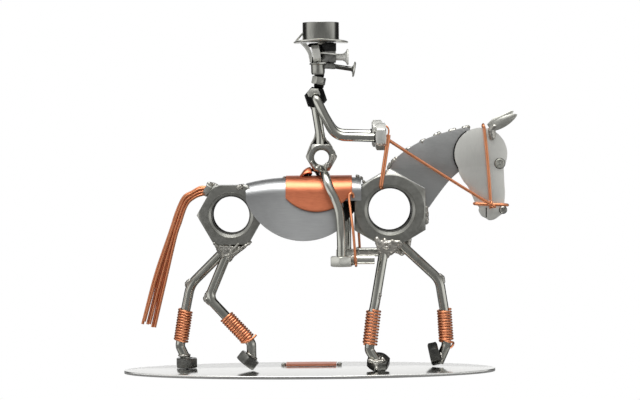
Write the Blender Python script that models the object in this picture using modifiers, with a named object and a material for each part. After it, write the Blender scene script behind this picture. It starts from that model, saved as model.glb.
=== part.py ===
"""Dressage horse and rider welded from nuts, rod, wire and sheet metal on an oval steel base.

The horse walks towards +X. The near side, the horse's right, faces -Y. The origin is the
centre of the base's underside, and +Z is up. Blender 4.5, metres.
"""
import math

import bmesh
import bpy
from mathutils import Matrix, Quaternion, Vector

MM = 0.001
GAP = 0.3 * MM                # clearance left between two pieces that touch

# Base and plaque
BASE_LENGTH = 240.0 * MM
BASE_WIDTH = 80.0 * MM
BASE_T = 2.0 * MM
PLAQUE_LENGTH = 33.0 * MM
PLAQUE_WIDTH = 16.0 * MM
PLAQUE_T = 0.9 * MM
PLAQUE_Y = 21.0 * MM
TACK_R = 1.6 * MM

# Nuts: width across flats, bore and thickness
CROUP_NUT_AF = 38.0 * MM
CROUP_NUT_BORE = 24.5 * MM
CROUP_NUT_T = 19.0 * MM
CROUP_NUT_SINK = 2.2 * MM
CHEST_NUT_AF = 45.5 * MM
CHEST_NUT_BORE = 28.4 * MM
CHEST_NUT_T = 24.0 * MM
CHEST_NUT_SINK = 2.4 * MM
HIP_NUT_AF = 16.8 * MM
HIP_NUT_BORE = 10.0 * MM
HIP_NUT_T = 9.0 * MM
HOOF_NUT_AF = 13.0 * MM
HOOF_NUT_BORE = 6.8 * MM
HOOF_NUT_T = 6.3 * MM
BOOT_NUT_AF = 13.0 * MM
BOOT_NUT_T = 6.5 * MM
HAND_NUT_AF = 15.2 * MM
HAND_NUT_T = 6.8 * MM
SHOULDER_NUT_AF = 13.0 * MM
SHOULDER_NUT_T = 6.5 * MM
SKULL_NUT_AF = 10.2 * MM
SKULL_NUT_T = 4.8 * MM
NECK_NUT_AF = 8.0 * MM
NECK_NUT_T = 5.0 * MM
FACE_NUT_AF = 8.4 * MM
TAIL_NUT_AF = 8.0 * MM
TAIL_NUT_T = 4.0 * MM

# Rods and wires, by diameter
LEG_ROD = 5.7 * MM
RIDER_ROD = 6.0 * MM
TOE_ROD = 5.7 * MM
WRAP_WIRE = 1.6 * MM
WRAP_TURNS = 5                # ribs of the sleeve that stands for the wound wire
REIN_WIRE = 1.9 * MM
BRIDLE_WIRE = 1.9 * MM
STIRRUP_WIRE = 1.7 * MM
TAIL_WIRE = 1.9 * MM
TAIL_WIRES = 5
ARM_FIT = 0.4 * MM            # clearance round the arms in the shoulder nut's bore

# Sheet and plate
BARREL_T = 1.0 * MM
BARREL_HALF_LENGTH = 38.8 * MM
BARREL_DEPTH = 37.2 * MM
BARREL_CUT = 0.95             # share of the half length at which the sheet is cut off
SPLAY = 0.29                  # how far the flanks lean out below the fold
SADDLE_T = 0.9 * MM
SADDLE_LENGTH = 42.4 * MM
SADDLE_FLAP_R = 26.7 * MM
NECK_T = 3.0 * MM
HEAD_T = 2.5 * MM
HEAD_DISC_R = 16.9 * MM
HEAD_STANDOFF = 0.9 * MM
EYE_R = 3.2 * MM
NOSTRIL_R = 2.3 * MM
EAR_T = 0.8 * MM

# Rider's head
HAT_R = 11.8 * MM
HAT_H = 11.4 * MM
BRIM_R = 17.6 * MM
BRIM_T = 1.3 * MM
SKULL_STRIP_T = 1.3 * MM
SKULL_STRIP_WIDTH = 8.0 * MM
NOSE_SHANK = 4.2 * MM
NOSE_HEAD = 10.4 * MM
NAIL_SHANK = 3.0 * MM
NAIL_HEAD = 10.2 * MM

# Pose: places are shares of the figure's height above the base, counted in 224ths of it,
# so that at this height they read as millimetres
FIGURE_H = 224.0 * MM
UNIT = FIGURE_H / 224
FOLD_DEPTH = 8.0 * UNIT       # height of the rounded fold along the horse's back
JAW_H = 7.4 * UNIT
JAW_R = 5.5 * UNIT
FLANGE_T = 1.1 * UNIT
SHOULDER_TURN = math.radians(12)
BOOT_TURN = math.radians(20)
POINT_UP = math.radians(30)   # turns a nut so that it has a corner on top, not flats
ALONG_X = (1, 0, 0)
ALONG_Y = (0, 1, 0)

ROD_RES = 2                   # bevel resolution, 8 sides
WIRE_RES = 1                  # 6 sides
ROUND = 10                    # sides of small turned pieces
BORE_SIDES = 20               # sides of the two big bores
FOLD_STEPS = 3                # steps round the fold of the barrel and of the saddle
FLANK_STEPS = 3               # steps down each flank
EAR_ROWS = 5                  # stations along each ear

STEEL = (0.32, 0.32, 0.31)
COPPER = (0.62, 0.27, 0.15)
BRIGHT = (0.62, 0.62, 0.60)


def at(x, y, h):
    """A pose point above the top of the base."""
    return Vector((x * UNIT, y * UNIT, BASE_T + h * UNIT))


def clear_scene():
    for obj in list(bpy.data.objects):
        bpy.data.objects.remove(obj)
    for name in ("horse_and_rider", "cutters"):
        if name in bpy.data.collections:
            bpy.data.collections.remove(bpy.data.collections[name])


def new_collection(name):
    collection = bpy.data.collections.new(name)
    bpy.context.scene.collection.children.link(collection)
    return collection


def metal(name, colour, roughness):
    material = bpy.data.materials.new(name)
    material.use_nodes = True
    shader = material.node_tree.nodes["Principled BSDF"]
    shader.inputs["Base Color"].default_value = (*colour, 1)
    shader.inputs["Metallic"].default_value = 1.0
    shader.inputs["Roughness"].default_value = roughness
    return material


# Shapes

def raw(name, mesh):
    """A working object, moved from the cutters to the figure once it is finished."""
    obj = bpy.data.objects.new(name, mesh)
    CUTTERS.objects.link(obj)
    obj.hide_render = True
    obj.display_type = "WIRE"
    return obj


def from_bmesh(name, bm):
    mesh = bpy.data.meshes.new(name)
    bm.to_mesh(mesh)
    bm.free()
    return raw(name, mesh)


def baked(obj):
    """The object's evaluated mesh, welded, as a new object in the world frame."""
    bpy.context.view_layer.update()
    evaluated = obj.evaluated_get(bpy.context.evaluated_depsgraph_get())
    mesh = bpy.data.meshes.new_from_object(evaluated)
    mesh.transform(obj.matrix_world)
    bm = bmesh.new()
    bm.from_mesh(mesh)
    bmesh.ops.remove_doubles(bm, verts=bm.verts, dist=0.002 * MM)
    bm.to_mesh(mesh)
    bm.free()
    name = obj.name
    bpy.data.objects.remove(obj)
    return raw(name, mesh)


def boolean(obj, others, operation):
    for other in others:
        modifier = obj.modifiers.new(operation, "BOOLEAN")
        modifier.operation = operation
        modifier.solver = "EXACT"
        modifier.object = other
        obj = baked(obj)
    return obj


def joined(obj, *others):
    result = boolean(obj, others, "UNION")
    for other in others:
        bpy.data.objects.remove(other)
    return result


def carved(obj, *cutters):
    return boolean(obj, cutters, "DIFFERENCE")


def placed(obj, centre, axis=(0, 0, 1), turn=0.0):
    """Moves a shape made round +Z so that +Z follows axis, after a turn about itself."""
    along = Vector((0, 0, 1)).rotation_difference(Vector(axis).normalized())
    spin = Quaternion((0, 0, 1), turn)
    obj.data.transform(Matrix.Translation(centre) @ (along @ spin).to_matrix().to_4x4())
    return obj


def turned(name, profile, sides):
    """A body turned about Z. The profile starts on the axis at the top and runs down outside."""
    bm = bmesh.new()
    points = [bm.verts.new((r, 0, z)) for r, z in profile]
    for first, second in zip(points, points[1:]):
        bm.edges.new((first, second))
    obj = from_bmesh(name, bm)
    screw = obj.modifiers.new("turn", "SCREW")
    screw.steps = sides
    screw.render_steps = sides
    screw.use_merge_vertices = True
    screw.merge_threshold = 0.00001
    return baked(obj)


def disc(name, radius, thickness, sides, edge=0.0):
    top = thickness / 2
    if edge:
        profile = [(0, top), (radius - edge, top), (radius, top - edge)]
        profile += [(radius, -top + edge), (radius - edge, -top), (0, -top)]
    else:
        profile = [(0, top), (radius, top), (radius, -top), (0, -top)]
    return turned(name, profile, sides)


def tube(name, points, diameter, resolution=ROD_RES):
    """A round rod or wire along a line of points, with flat filled ends."""
    curve = bpy.data.curves.new(name, "CURVE")
    curve.dimensions = "3D"
    curve.bevel_depth = diameter / 2
    curve.bevel_resolution = resolution
    curve.use_fill_caps = True
    spline = curve.splines.new("POLY")
    spline.points.add(len(points) - 1)
    for point, place in zip(spline.points, points):
        point.co = (*place, 1)
    return baked(raw(name, curve))


def bent(points, radius, steps=3):
    """The line with each inner corner rounded to a bend."""
    line = [points[0]]
    for before, corner, after in zip(points, points[1:], points[2:]):
        back = before - corner
        ahead = after - corner
        reach = min(radius, back.length * 0.45, ahead.length * 0.45)
        start = corner + back.normalized() * reach
        end = corner + ahead.normalized() * reach
        for step in range(steps + 1):
            t = step / steps
            line.append(start.lerp(corner, t).lerp(corner.lerp(end, t), t))
    line.append(points[-1])
    return line


def lump(name, centre, radii, axis=(0, 0, 1), level=1, rough=0.06):
    """A weld bead: a ball with a slightly uneven skin."""
    bm = bmesh.new()
    bmesh.ops.create_icosphere(bm, subdivisions=level, radius=1)
    for vert in bm.verts:
        wave = math.sin(vert.co.x * 5 + vert.co.z * 3) * math.cos(vert.co.y * 6)
        vert.co = Vector(a * b for a, b in zip(vert.co, radii)) * (1 + rough * wave)
    return placed(from_bmesh(name, bm), centre, axis)


def hexagon(name, across, thickness):
    bm = bmesh.new()
    radius = across / math.sqrt(3)
    bmesh.ops.create_cone(bm, cap_ends=True, segments=6, radius1=radius, radius2=radius,
                          depth=thickness)
    bmesh.ops.rotate(bm, verts=bm.verts, matrix=Matrix.Rotation(math.radians(30), 3, "Z"))
    return from_bmesh(name, bm)


def hex_nut(name, across, bore, thickness, chamfer_sides=12, bore_sides=ROUND, sink=0.0):
    """A nut round Z: flats, corners chamfered on both faces, and a bore with an optional sink."""
    nut = hexagon(name, across, thickness)
    face = across / 2 * 0.98
    corner = across / math.sqrt(3) * 1.05
    drop = (corner - face) * math.tan(math.radians(28))
    half = thickness / 2
    over = 0.5 * MM
    profile = [(0, half + over), (face - over, half + over), (face, half), (corner, half - drop)]
    profile += [(corner, drop - half), (face, -half), (face - over, -half - over)]
    profile += [(0, -half - over)]
    chamfer = turned("chamfer", profile, chamfer_sides)
    nut = boolean(nut, [chamfer], "INTERSECT")
    bpy.data.objects.remove(chamfer)
    if bore:
        inner = bore / 2
        end = half + over
        if sink:
            profile = [(0, end), (inner + sink + over, end), (inner, half - sink)]
            profile += [(inner, sink - half), (inner + sink + over, -end), (0, -end)]
        else:
            profile = [(0, end), (inner, end), (inner, -end), (0, -end)]
        drill = turned("drill", profile, bore_sides)
        nut = carved(nut, drill)
        bpy.data.objects.remove(drill)
    return nut


def plate(name, outline, thickness, y=0.0):
    """A flat plate in the XZ plane, from an outline of (x, z) places."""
    curve = bpy.data.curves.new(name, "CURVE")
    curve.dimensions = "2D"
    curve.fill_mode = "BOTH"
    curve.extrude = thickness / 2
    spline = curve.splines.new("POLY")
    spline.points.add(len(outline) - 1)
    for point, (x, z) in zip(spline.points, outline):
        point.co = (x, z, 0, 1)
    spline.use_cyclic_u = True
    obj = raw(name, curve)
    obj.matrix_world = Matrix.Translation((0, y, 0)) @ Matrix.Rotation(math.pi / 2, 4, "X")
    return baked(obj)


def arc(centre, radius, start, end, steps):
    """Places on an arc in the XZ plane, by angles in degrees from +X towards +Z."""
    places = []
    for step in range(steps + 1):
        angle = math.radians(start + (end - start) * step / steps)
        places.append((centre[0] + radius * math.cos(angle), centre[1] + radius * math.sin(angle)))
    return places


def finish(obj, name, material, smooth=35):
    """Names a finished piece, gives it its metal and moves it into the figure."""
    obj.name = name
    obj.data.name = name
    obj.data.materials.clear()
    obj.data.materials.append(material)
    obj.data.shade_smooth()
    obj.data.set_sharp_from_angle(angle=math.radians(smooth))
    obj.hide_render = False
    obj.display_type = "TEXTURED"
    CUTTERS.objects.unlink(obj)
    FIGURE.objects.link(obj)
    return obj


def copy_of(obj, name):
    return raw(name, obj.data.copy())


# Where the nuts are

CROUP = at(-49.6, 0, 100.3)
CHEST = at(52.4, 0, 103.0)
BARREL_X = (CROUP.x + CHEST.x) / 2 - 4.2 * UNIT
RIDGE_Z = CROUP.z + CROUP_NUT_AF / 2 + 4.1 * UNIT
HIP = Vector((8.8 * UNIT, 0, RIDGE_Z + SADDLE_T + HIP_NUT_AF / 2 + 3.9 * UNIT))


def above_hip(x, y, z):
    """A pose point of the rider, from the centre of the hip nut."""
    return HIP + Vector((x, y, z)) * UNIT


SHOULDER = above_hip(-3.4, 0, 38.5)
HAND_Y = HAND_NUT_AF / math.sqrt(3) + GAP
HAND = {-1: above_hip(38.1, 0, 13.2) + Vector((0, -HAND_Y, 0)),
        1: above_hip(36.1, 0, 15.2) + Vector((0, HAND_Y, 0))}
HEAD_Y = -(NECK_T / 2 + HEAD_STANDOFF + HEAD_T / 2)


def guard(centre, across, thickness, axis, turn=0.0):
    """A filled nut one clearance larger all round, which trims what is welded on the nut."""
    prism = hexagon("guard", across + 2 * GAP, thickness + 2 * GAP)
    return placed(prism, centre, axis, turn)


def croup_guard():
    return guard(CROUP, CROUP_NUT_AF, CROUP_NUT_T, ALONG_Y)


def chest_guard():
    return guard(CHEST, CHEST_NUT_AF, CHEST_NUT_T, ALONG_Y, POINT_UP)


def hip_guard():
    return guard(HIP, HIP_NUT_AF, HIP_NUT_T, ALONG_Y)


def shoulder_guard():
    return guard(SHOULDER, SHOULDER_NUT_AF, SHOULDER_NUT_T, ALONG_Y, SHOULDER_TURN)


def block(centre, size):
    bm = bmesh.new()
    bmesh.ops.create_cube(bm, size=1)
    matrix = Matrix.Translation(centre) @ Matrix.Diagonal((*size, 1))
    bmesh.ops.transform(bm, matrix=matrix, verts=bm.verts)
    return from_bmesh("block", bm)


def own_half(obj, side):
    """Keeps a weld on its own side of the middle, half a clearance off it."""
    room = FIGURE_H
    other = block((0, -side * (room / 2 - GAP / 2), room / 2), (2 * room, room, 2 * room))
    return trimmed(obj, other)


def trimmed(obj, *cutters):
    """Cuts with shapes that are then thrown away."""
    result = carved(obj, *cutters)
    for cutter in cutters:
        bpy.data.objects.remove(cutter)
    return largest_body(result)


def largest_body(obj):
    """Drops the loose chips that a cut leaves beside the piece."""
    bm = bmesh.new()
    bm.from_mesh(obj.data)
    left = set(bm.verts)
    bodies = []
    while left:
        stack = [left.pop()]
        body = set(stack)
        while stack:
            for edge in stack.pop().link_edges:
                for vert in edge.verts:
                    if vert in left:
                        left.remove(vert)
                        body.add(vert)
                        stack.append(vert)
        bodies.append(body)
    bodies.sort(key=extent)
    for body in bodies[:-1]:
        bmesh.ops.delete(bm, geom=list(body), context="VERTS")
    bm.to_mesh(obj.data)
    bm.free()
    return obj


def extent(body):
    """The diagonal of a body's box."""
    low = Vector(min(vert.co[i] for vert in body) for i in range(3))
    high = Vector(max(vert.co[i] for vert in body) for i in range(3))
    return (high - low).length


# Base

def make_base(steel):
    bm = bmesh.new()
    bmesh.ops.create_cone(bm, cap_ends=True, segments=56, radius1=0.5, radius2=0.5, depth=1)
    size = Matrix.Diagonal((BASE_LENGTH, BASE_WIDTH, BASE_T, 1))
    bmesh.ops.transform(bm, matrix=Matrix.Translation((0, 0, BASE_T / 2)) @ size, verts=bm.verts)
    finish(from_bmesh("base_plate", bm), "base_plate", steel)


def make_plaque(copper, bright):
    middle = 0.9 * UNIT
    bottom = BASE_T + GAP
    plaque = block((middle, PLAQUE_Y, bottom + PLAQUE_T / 2), (PLAQUE_LENGTH, PLAQUE_WIDTH, PLAQUE_T))
    finish(plaque, "plaque", copper)
    for name, side in (("plaque_tack_left", -1), ("plaque_tack_right", 1)):
        x = middle + side * (PLAQUE_LENGTH / 2 + GAP + TACK_R)
        tack = lump(name, (x, PLAQUE_Y, bottom), (TACK_R, TACK_R, TACK_R * 0.8), rough=0)
        floor = block((x, PLAQUE_Y, bottom - TACK_R), (3 * TACK_R, 3 * TACK_R, 2 * TACK_R))
        finish(trimmed(tack, floor), name, bright)


# Horse

def make_body_nuts(steel):
    croup = hex_nut("croup_nut", CROUP_NUT_AF, CROUP_NUT_BORE, CROUP_NUT_T, 18, BORE_SIDES,
                    sink=CROUP_NUT_SINK)
    finish(placed(croup, CROUP, ALONG_Y), "croup_nut", steel)
    chest = hex_nut("chest_nut", CHEST_NUT_AF, CHEST_NUT_BORE, CHEST_NUT_T, 18, BORE_SIDES,
                    sink=CHEST_NUT_SINK)
    finish(placed(chest, CHEST, ALONG_Y, POINT_UP), "chest_nut", steel)


def ridge(x):
    """Height of the barrel sheet's fold, which dips at both ends."""
    behind = max(0.0, BARREL_X - 9 * UNIT - x)
    ahead = max(0.0, x - BARREL_X - 30 * UNIT)
    return RIDGE_Z - 0.0045 / UNIT * behind ** 2 - 0.04 / UNIT * ahead ** 2


def fold_half_width(x):
    """Half the width of the fold, which clears the nut at each end."""
    rear = CROUP_NUT_T / 2 + GAP + BARREL_T / 2 + 0.4 * UNIT
    front = CHEST_NUT_T / 2 + GAP + BARREL_T / 2 + 0.4 * UNIT
    share = (x - (BARREL_X - BARREL_HALF_LENGTH)) / (2 * BARREL_HALF_LENGTH)
    return rear + (front - rear) * share


def hull(x, reach):
    """A point of the near flank, by its distance round the sheet from the ridge."""
    quarter = FOLD_DEPTH * math.pi / 2
    angle = min(reach / quarter, 1.0) * math.pi / 2
    drop = FOLD_DEPTH * (1 - math.cos(angle)) + max(0.0, reach - quarter)
    station = min(1.0, abs(x - BARREL_X) / BARREL_HALF_LENGTH)
    lean = SPLAY * (1 - station ** 3)
    y = fold_half_width(x) * math.sin(angle) + lean * drop ** 2 / (drop + FOLD_DEPTH)
    return Vector((x, -y, ridge(x) - drop))


def lifted(x, reach, lift):
    """The point one lift outside the barrel sheet's middle."""
    step = 0.2 * MM
    along = hull(x + step, reach) - hull(x - step, reach)
    around = hull(x, reach + step) - hull(x, max(0.0, reach - step))
    return hull(x, reach) + along.cross(around).normalized() * -lift


def reach_at(x, z, lift=0.0):
    """How far round the sheet the lifted surface comes down to a height."""
    low = 0.0
    high = 2 * BARREL_DEPTH
    for _ in range(40):
        middle = (low + high) / 2
        if lifted(x, middle, lift).z > z:
            low = middle
        else:
            high = middle
    return low


def reaches(end):
    """Steps round the sheet from the ridge, the same in the fold for both sheets."""
    quarter = min(end, FOLD_DEPTH * math.pi / 2)
    fold = [quarter * step / FOLD_STEPS for step in range(FOLD_STEPS)]
    flank = [quarter + (end - quarter) * step / FLANK_STEPS for step in range(FLANK_STEPS + 1)]
    if end - quarter < 0.5 * MM:
        count = FOLD_STEPS + FLANK_STEPS
        return [end * step / count for step in range(count + 1)]
    return fold + flank


def folded_sheet(name, stations, lower_edge, lift, thickness):
    """A sheet folded over the back, from stations along X and the height of its lower edge."""
    bm = bmesh.new()
    columns = []
    for x in stations:
        near = [lifted(x, reach, lift) for reach in reaches(reach_at(x, lower_edge(x), lift))]
        near[0].y = 0
        far = [Vector((place.x, -place.y, place.z)) for place in near[1:]]
        columns.append([bm.verts.new(place) for place in near[::-1] + far])
    for left, right in zip(columns, columns[1:]):
        for a, b, c, d in zip(left, right, right[1:], left[1:]):
            bm.faces.new((a, b, c, d))
    bmesh.ops.recalc_face_normals(bm, faces=bm.faces)
    obj = from_bmesh(name, bm)
    solid = obj.modifiers.new("thickness", "SOLIDIFY")
    solid.thickness = thickness
    solid.offset = 0
    return baked(obj)


def barrel_edge(x):
    """The folded disc's edge."""
    across = min(1.0, abs(x - BARREL_X) / BARREL_HALF_LENGTH)
    return RIDGE_Z - 2.2 * UNIT - BARREL_DEPTH * math.sqrt(1 - across ** 2)


SADDLE_REAR = BARREL_X - 11.4 * UNIT
SADDLE_MIDDLE = SADDLE_REAR + 0.467 * SADDLE_LENGTH
SADDLE_LIFT = BARREL_T / 2 + GAP + SADDLE_T / 2 + 0.15 * MM


def saddle_edge(x):
    """The flap's rounded lower edge."""
    return RIDGE_Z + 5.6 * UNIT - math.sqrt(SADDLE_FLAP_R ** 2 - (x - SADDLE_MIDDLE) ** 2)


def make_barrel(steel):
    count = 10
    stations = [BARREL_X - BARREL_CUT * BARREL_HALF_LENGTH * math.cos(math.pi * i / count)
                for i in range(count + 1)]
    barrel = folded_sheet("barrel", stations, barrel_edge, 0.0, BARREL_T)
    barrel = trimmed(barrel, croup_guard(), chest_guard())
    finish(barrel, "barrel_sheet", steel, smooth=40)


def make_saddle(copper):
    count = 6
    stations = [SADDLE_REAR + SADDLE_LENGTH * i / count for i in range(count + 1)]
    saddle = folded_sheet("saddle", stations, saddle_edge, SADDLE_LIFT, SADDLE_T)
    top = RIDGE_Z + SADDLE_LIFT
    cantle = [(-4.4, -0.6), (-3.0, 2.6), (-0.8, 4.9), (1.6, 6.0), (1.8, 5.1), (-0.1, 4.2),
              (-2.1, 2.1), (-3.2, -0.6)]
    outline = [(x * UNIT, top + z * UNIT) for x, z in cantle]
    tongue = plate("cantle", outline, 9.0 * UNIT)
    finish(joined(saddle, tongue), "saddle", copper, smooth=40)


def smooth_line(points, steps):
    """A smooth line through the points."""
    line = []
    ends = [points[0] * 2 - points[1], *points, points[-1] * 2 - points[-2]]
    for before, start, end, after in zip(ends, ends[1:], ends[2:], ends[3:]):
        for step in range(steps):
            t = step / steps
            line.append(0.5 * (2 * start + (end - before) * t
                               + (2 * before - 5 * start + 4 * end - after) * t ** 2
                               + (3 * start - before - 3 * end + after) * t ** 3))
    line.append(points[-1])
    return line


def neck_point(x, z):
    """A pose point of the neck and head, from the centre of the chest nut."""
    return Vector((CHEST.x + x * UNIT, 0, CHEST.z + z * UNIT))


def outline_of(points, steps=1):
    line = smooth_line(points, steps) if steps > 1 else points
    return [(point.x, point.z) for point in line]


CREST = [(0.4, 23.0), (1.6, 29.8), (9.8, 37.2), (18.9, 42.8), (28.0, 46.7), (38.2, 49.8),
         (49.9, 52.6)]
THROAT = [(54.6, 49.0), (56.4, 40.0), (52.0, 30.0), (42.3, 21.6), (37.2, 16.5), (30.7, 8.2),
          (25.6, 1.1)]
MANE = ((3.4, 31.9), (11.9, 38.6), (21.6, 43.7), (30.9, 48.1), (40.9, 50.6), (49.6, 52.4))
HEAD_CENTRE = neck_point(58.8, 35.1)


def make_neck(steel):
    line = [neck_point(x, z) for x, z in CREST]
    outline = outline_of(line, 2)
    outline += [(point.x, point.z) for point in (neck_point(x, z) for x, z in THROAT)]
    outline += [(neck_point(x, z).x, neck_point(x, z).z) for x, z in ((20.0, -2.0), (-2.0, 12.0))]
    neck = plate("neck", outline, NECK_T)
    pad_t = HEAD_STANDOFF - GAP + NECK_T / 2
    pad = disc("pad", 4.0 * UNIT, pad_t, ROUND)
    place = HEAD_CENTRE + Vector((-10.0 * UNIT, -pad_t / 2, 0))
    neck = joined(neck, placed(pad, place, ALONG_Y))
    beads = []
    for index, (x, z) in enumerate(MANE):
        tilt = math.radians(38 - 5 * index)
        along = (math.cos(tilt), 0, math.sin(tilt))
        radii = (NECK_T / 2 + 0.8 * UNIT, 1.5 * UNIT, 2.3 * UNIT)
        beads.append(lump("bead", neck_point(x, z), radii, along))
    root = (1.7 * UNIT, NECK_T / 2 + 1.2 * UNIT, 5.0 * UNIT)
    beads.append(lump("root", neck_point(24.3, -3.8), root))
    neck = trimmed(joined(neck, *beads), chest_guard())
    finish(neck, "neck_plate", steel)


def head_point(x, z):
    """A pose point from the centre of the head's round cheek."""
    return HEAD_CENTRE + Vector((x, 0, z)) * UNIT


MUZZLE = [(14.7, -12.0), (14.9, -18.0), (15.3, -25.0), (14.9, -32.9), (16.4, -35.6),
          (15.8, -37.4), (13.2, -38.8), (8.6, -42.0), (5.2, -42.6), (3.0, -41.4), (0.2, -39.8),
          (-1.6, -36.4), (-1.4, -34.2), (-3.4, -32.1), (-5.7, -26.9), (-8.2, -21.3),
          (-11.4, -17.2), (-14.0, -12.5)]


def make_head(bright):
    start = math.degrees(math.asin(-8.6 * UNIT / HEAD_DISC_R))
    outline = arc((HEAD_CENTRE.x, HEAD_CENTRE.z), HEAD_DISC_R, 180 - start, start, 20)
    outline += [(head_point(x, z).x, head_point(x, z).z) for x, z in MUZZLE]
    head = plate("head", outline, HEAD_T, HEAD_Y)
    mouth = block(head_point(3.2, -40.0) + Vector((0, HEAD_Y, 0)),
                  (0.5 * MM, 2 * HEAD_T, 12 * UNIT))
    finish(trimmed(head, mouth), "head_plate", bright)
    rivets = (("eye", 12.1, -6.2, EYE_R), ("nostril", 14.0, -36.0, NOSTRIL_R))
    for name, x, z, radius in rivets:
        for label, side in (("near", -1), ("far", 1)):
            height = 0.5 * radius
            profile = [(0, height), (0.8 * radius, height), (radius, 0.6 * height), (radius, 0),
                       (0, 0)]
            rivet = turned(name, profile, ROUND)
            face = HEAD_Y + side * (HEAD_T / 2 + GAP)
            place = head_point(x, z) + Vector((0, face, 0))
            finish(placed(rivet, place, (0, side, 0)), f"{name}_{label}", bright)


def make_ears(bright):
    """Each ear is a cupped leaf of thin sheet on a weld at the poll."""
    for label, side, root, tip in (("near", -1, (6.2, 16.2), (22.9, 25.1)),
                                   ("far", 1, (5.4, 17.2), (21.4, 27.3))):
        face = HEAD_Y + side * (HEAD_T / 2 + GAP)
        start = head_point(*root) + Vector((0, face + side * 1.6 * UNIT, 0))
        end = head_point(*tip) + Vector((0, face + side * 3.4 * UNIT, 0))
        along = end - start
        across = along.normalized().cross(Vector((0, 1, 0))).normalized()
        outward = along.normalized().cross(across).normalized()
        bm = bmesh.new()
        rows = []
        for i in range(EAR_ROWS):
            t = i / (EAR_ROWS - 1)
            width = 3.0 * UNIT * math.sin(math.pi * min(1, 0.16 + t * 0.84)) ** 0.7 + 0.15 * UNIT
            row = []
            for j in range(-2, 3):
                w = j / 2
                cup = 0.9 * UNIT * (1 - w * w) * math.sin(math.pi * t)
                place = start + along * t + across * w * width + outward * cup
                row.append(bm.verts.new(place))
            rows.append(row)
        for first, second in zip(rows, rows[1:]):
            for a, b, c, d in zip(first, second, second[1:], first[1:]):
                bm.faces.new((a, b, c, d))
        bmesh.ops.recalc_face_normals(bm, faces=bm.faces)
        ear = from_bmesh("ear", bm)
        solid = ear.modifiers.new("thickness", "SOLIDIFY")
        solid.thickness = EAR_T
        solid.offset = 0
        ear = baked(ear)
        radii = (2.0 * UNIT, 2.2 * UNIT, 4.6 * UNIT)
        weld = lump("weld", head_point(6.9, 13.8) + Vector((0, face, 0)), radii, (0.45, 0, -0.9))
        slab = block(head_point(0, 0) + Vector((0, HEAD_Y, 0)),
                     (8 * HEAD_DISC_R, HEAD_T + 2 * GAP, 8 * HEAD_DISC_R))
        cut = trimmed(joined(ear, weld), slab, beyond(HEAD_Y, -side))
        finish(cut, f"ear_{label}", bright)


def beyond(y, side):
    """Everything on one side of a plane across Y."""
    room = 2 * FIGURE_H
    return block((0, y + side * room / 2, room / 2), (room, room, room))


LEGS = {
    # name: nut, side, height and reach of the leg's points, then the wrap's ends and the foot
    "hind_far": (1, [(4.6, 88.0), (-6.7, 75.1), (-27.4, 54.6)],
                 [(-31.0, 37.9), (-34.2, 18.0)], [(-34.9, 14.4), (-30.6, 5.0)]),
    "hind_near": (-1, [(-0.6, 88.0), (-3.3, 74.1), (-14.6, 47.1)],
                  [(-3.4, 35.1), (10.3, 20.5)], [(12.4, 17.9), (12.6, 5.5)]),
    "fore_near": (-1, [(-1.6, 92.0), (-4.6, 73.4), (-10.1, 42.5)],
                  [(-10.9, 38.8), (-13.6, 16.6)], [(-14.0, 13.4), (-9.2, 5.5)]),
    "fore_far": (1, [(1.0, 88.0), (9.5, 77.8), (32.2, 56.6)],
                 [(35.3, 37.1), (36.5, 16.8)], [(36.5, 13.6), (31.6, 2.5)]),
}
HOOVES = {
    # name: x from the nut above, y, axis, turn
    "hind_far": (-30.6, 9.5, (0, 0, 1), math.radians(37)),
    "hind_near": (10.1, -9.5, (0.62, 0, 0.78), 0.0),
    "fore_near": (-8.2, -13.0, (0.05, -0.5, 0.866), math.radians(10)),
    "fore_far": (28.7, 8.5, (0.98, 0, 0.21), 0.0),
}


def leg_nut(name):
    return CROUP if name.startswith("hind") else CHEST


def hoof_turn(name):
    return HOOVES[name][2], HOOVES[name][3]


def hoof_centre(name):
    """Each hoof nut is set down so that its lowest corner just clears the base."""
    x, y, axis, turn = HOOVES[name]
    probe = placed(hexagon("probe", HOOF_NUT_AF, HOOF_NUT_T), (0, 0, 0), axis, turn)
    lowest = min(vert.co.z for vert in probe.data.vertices)
    bpy.data.objects.remove(probe)
    return Vector((leg_nut(name).x + x * UNIT, y * UNIT, BASE_T + GAP - lowest))


def make_hooves(steel):
    nut = hex_nut("hoof", HOOF_NUT_AF, HOOF_NUT_BORE, HOOF_NUT_T)
    for name in HOOVES:
        axis, turn = hoof_turn(name)
        hoof = placed(copy_of(nut, name), hoof_centre(name), axis, turn)
        low = min(vert.co.z for vert in hoof.data.vertices)
        hoof.data.transform(Matrix.Translation((0, 0, BASE_T + GAP - low)))
        finish(hoof, f"hoof_{name}", steel)
    bpy.data.objects.remove(nut)


def leg_line(name):
    """The leg's corners from the nut down to the hoof, moving outwards to the hoof's side."""
    side, upper, wrap, foot = LEGS[name]
    nut = leg_nut(name)
    top_y = side * 4.4 * UNIT if name.startswith("hind") else side * 6.6 * UNIT
    low_y = HOOVES[name][1] * UNIT
    line = []
    for x, h in upper + wrap + foot:
        share = min(1.0, max(0.0, (88.0 - h) / (88.0 - 35.0)))
        line.append(Vector((nut.x + x * UNIT, top_y + (low_y - top_y) * share, BASE_T + h * UNIT)))
    return line


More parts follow.
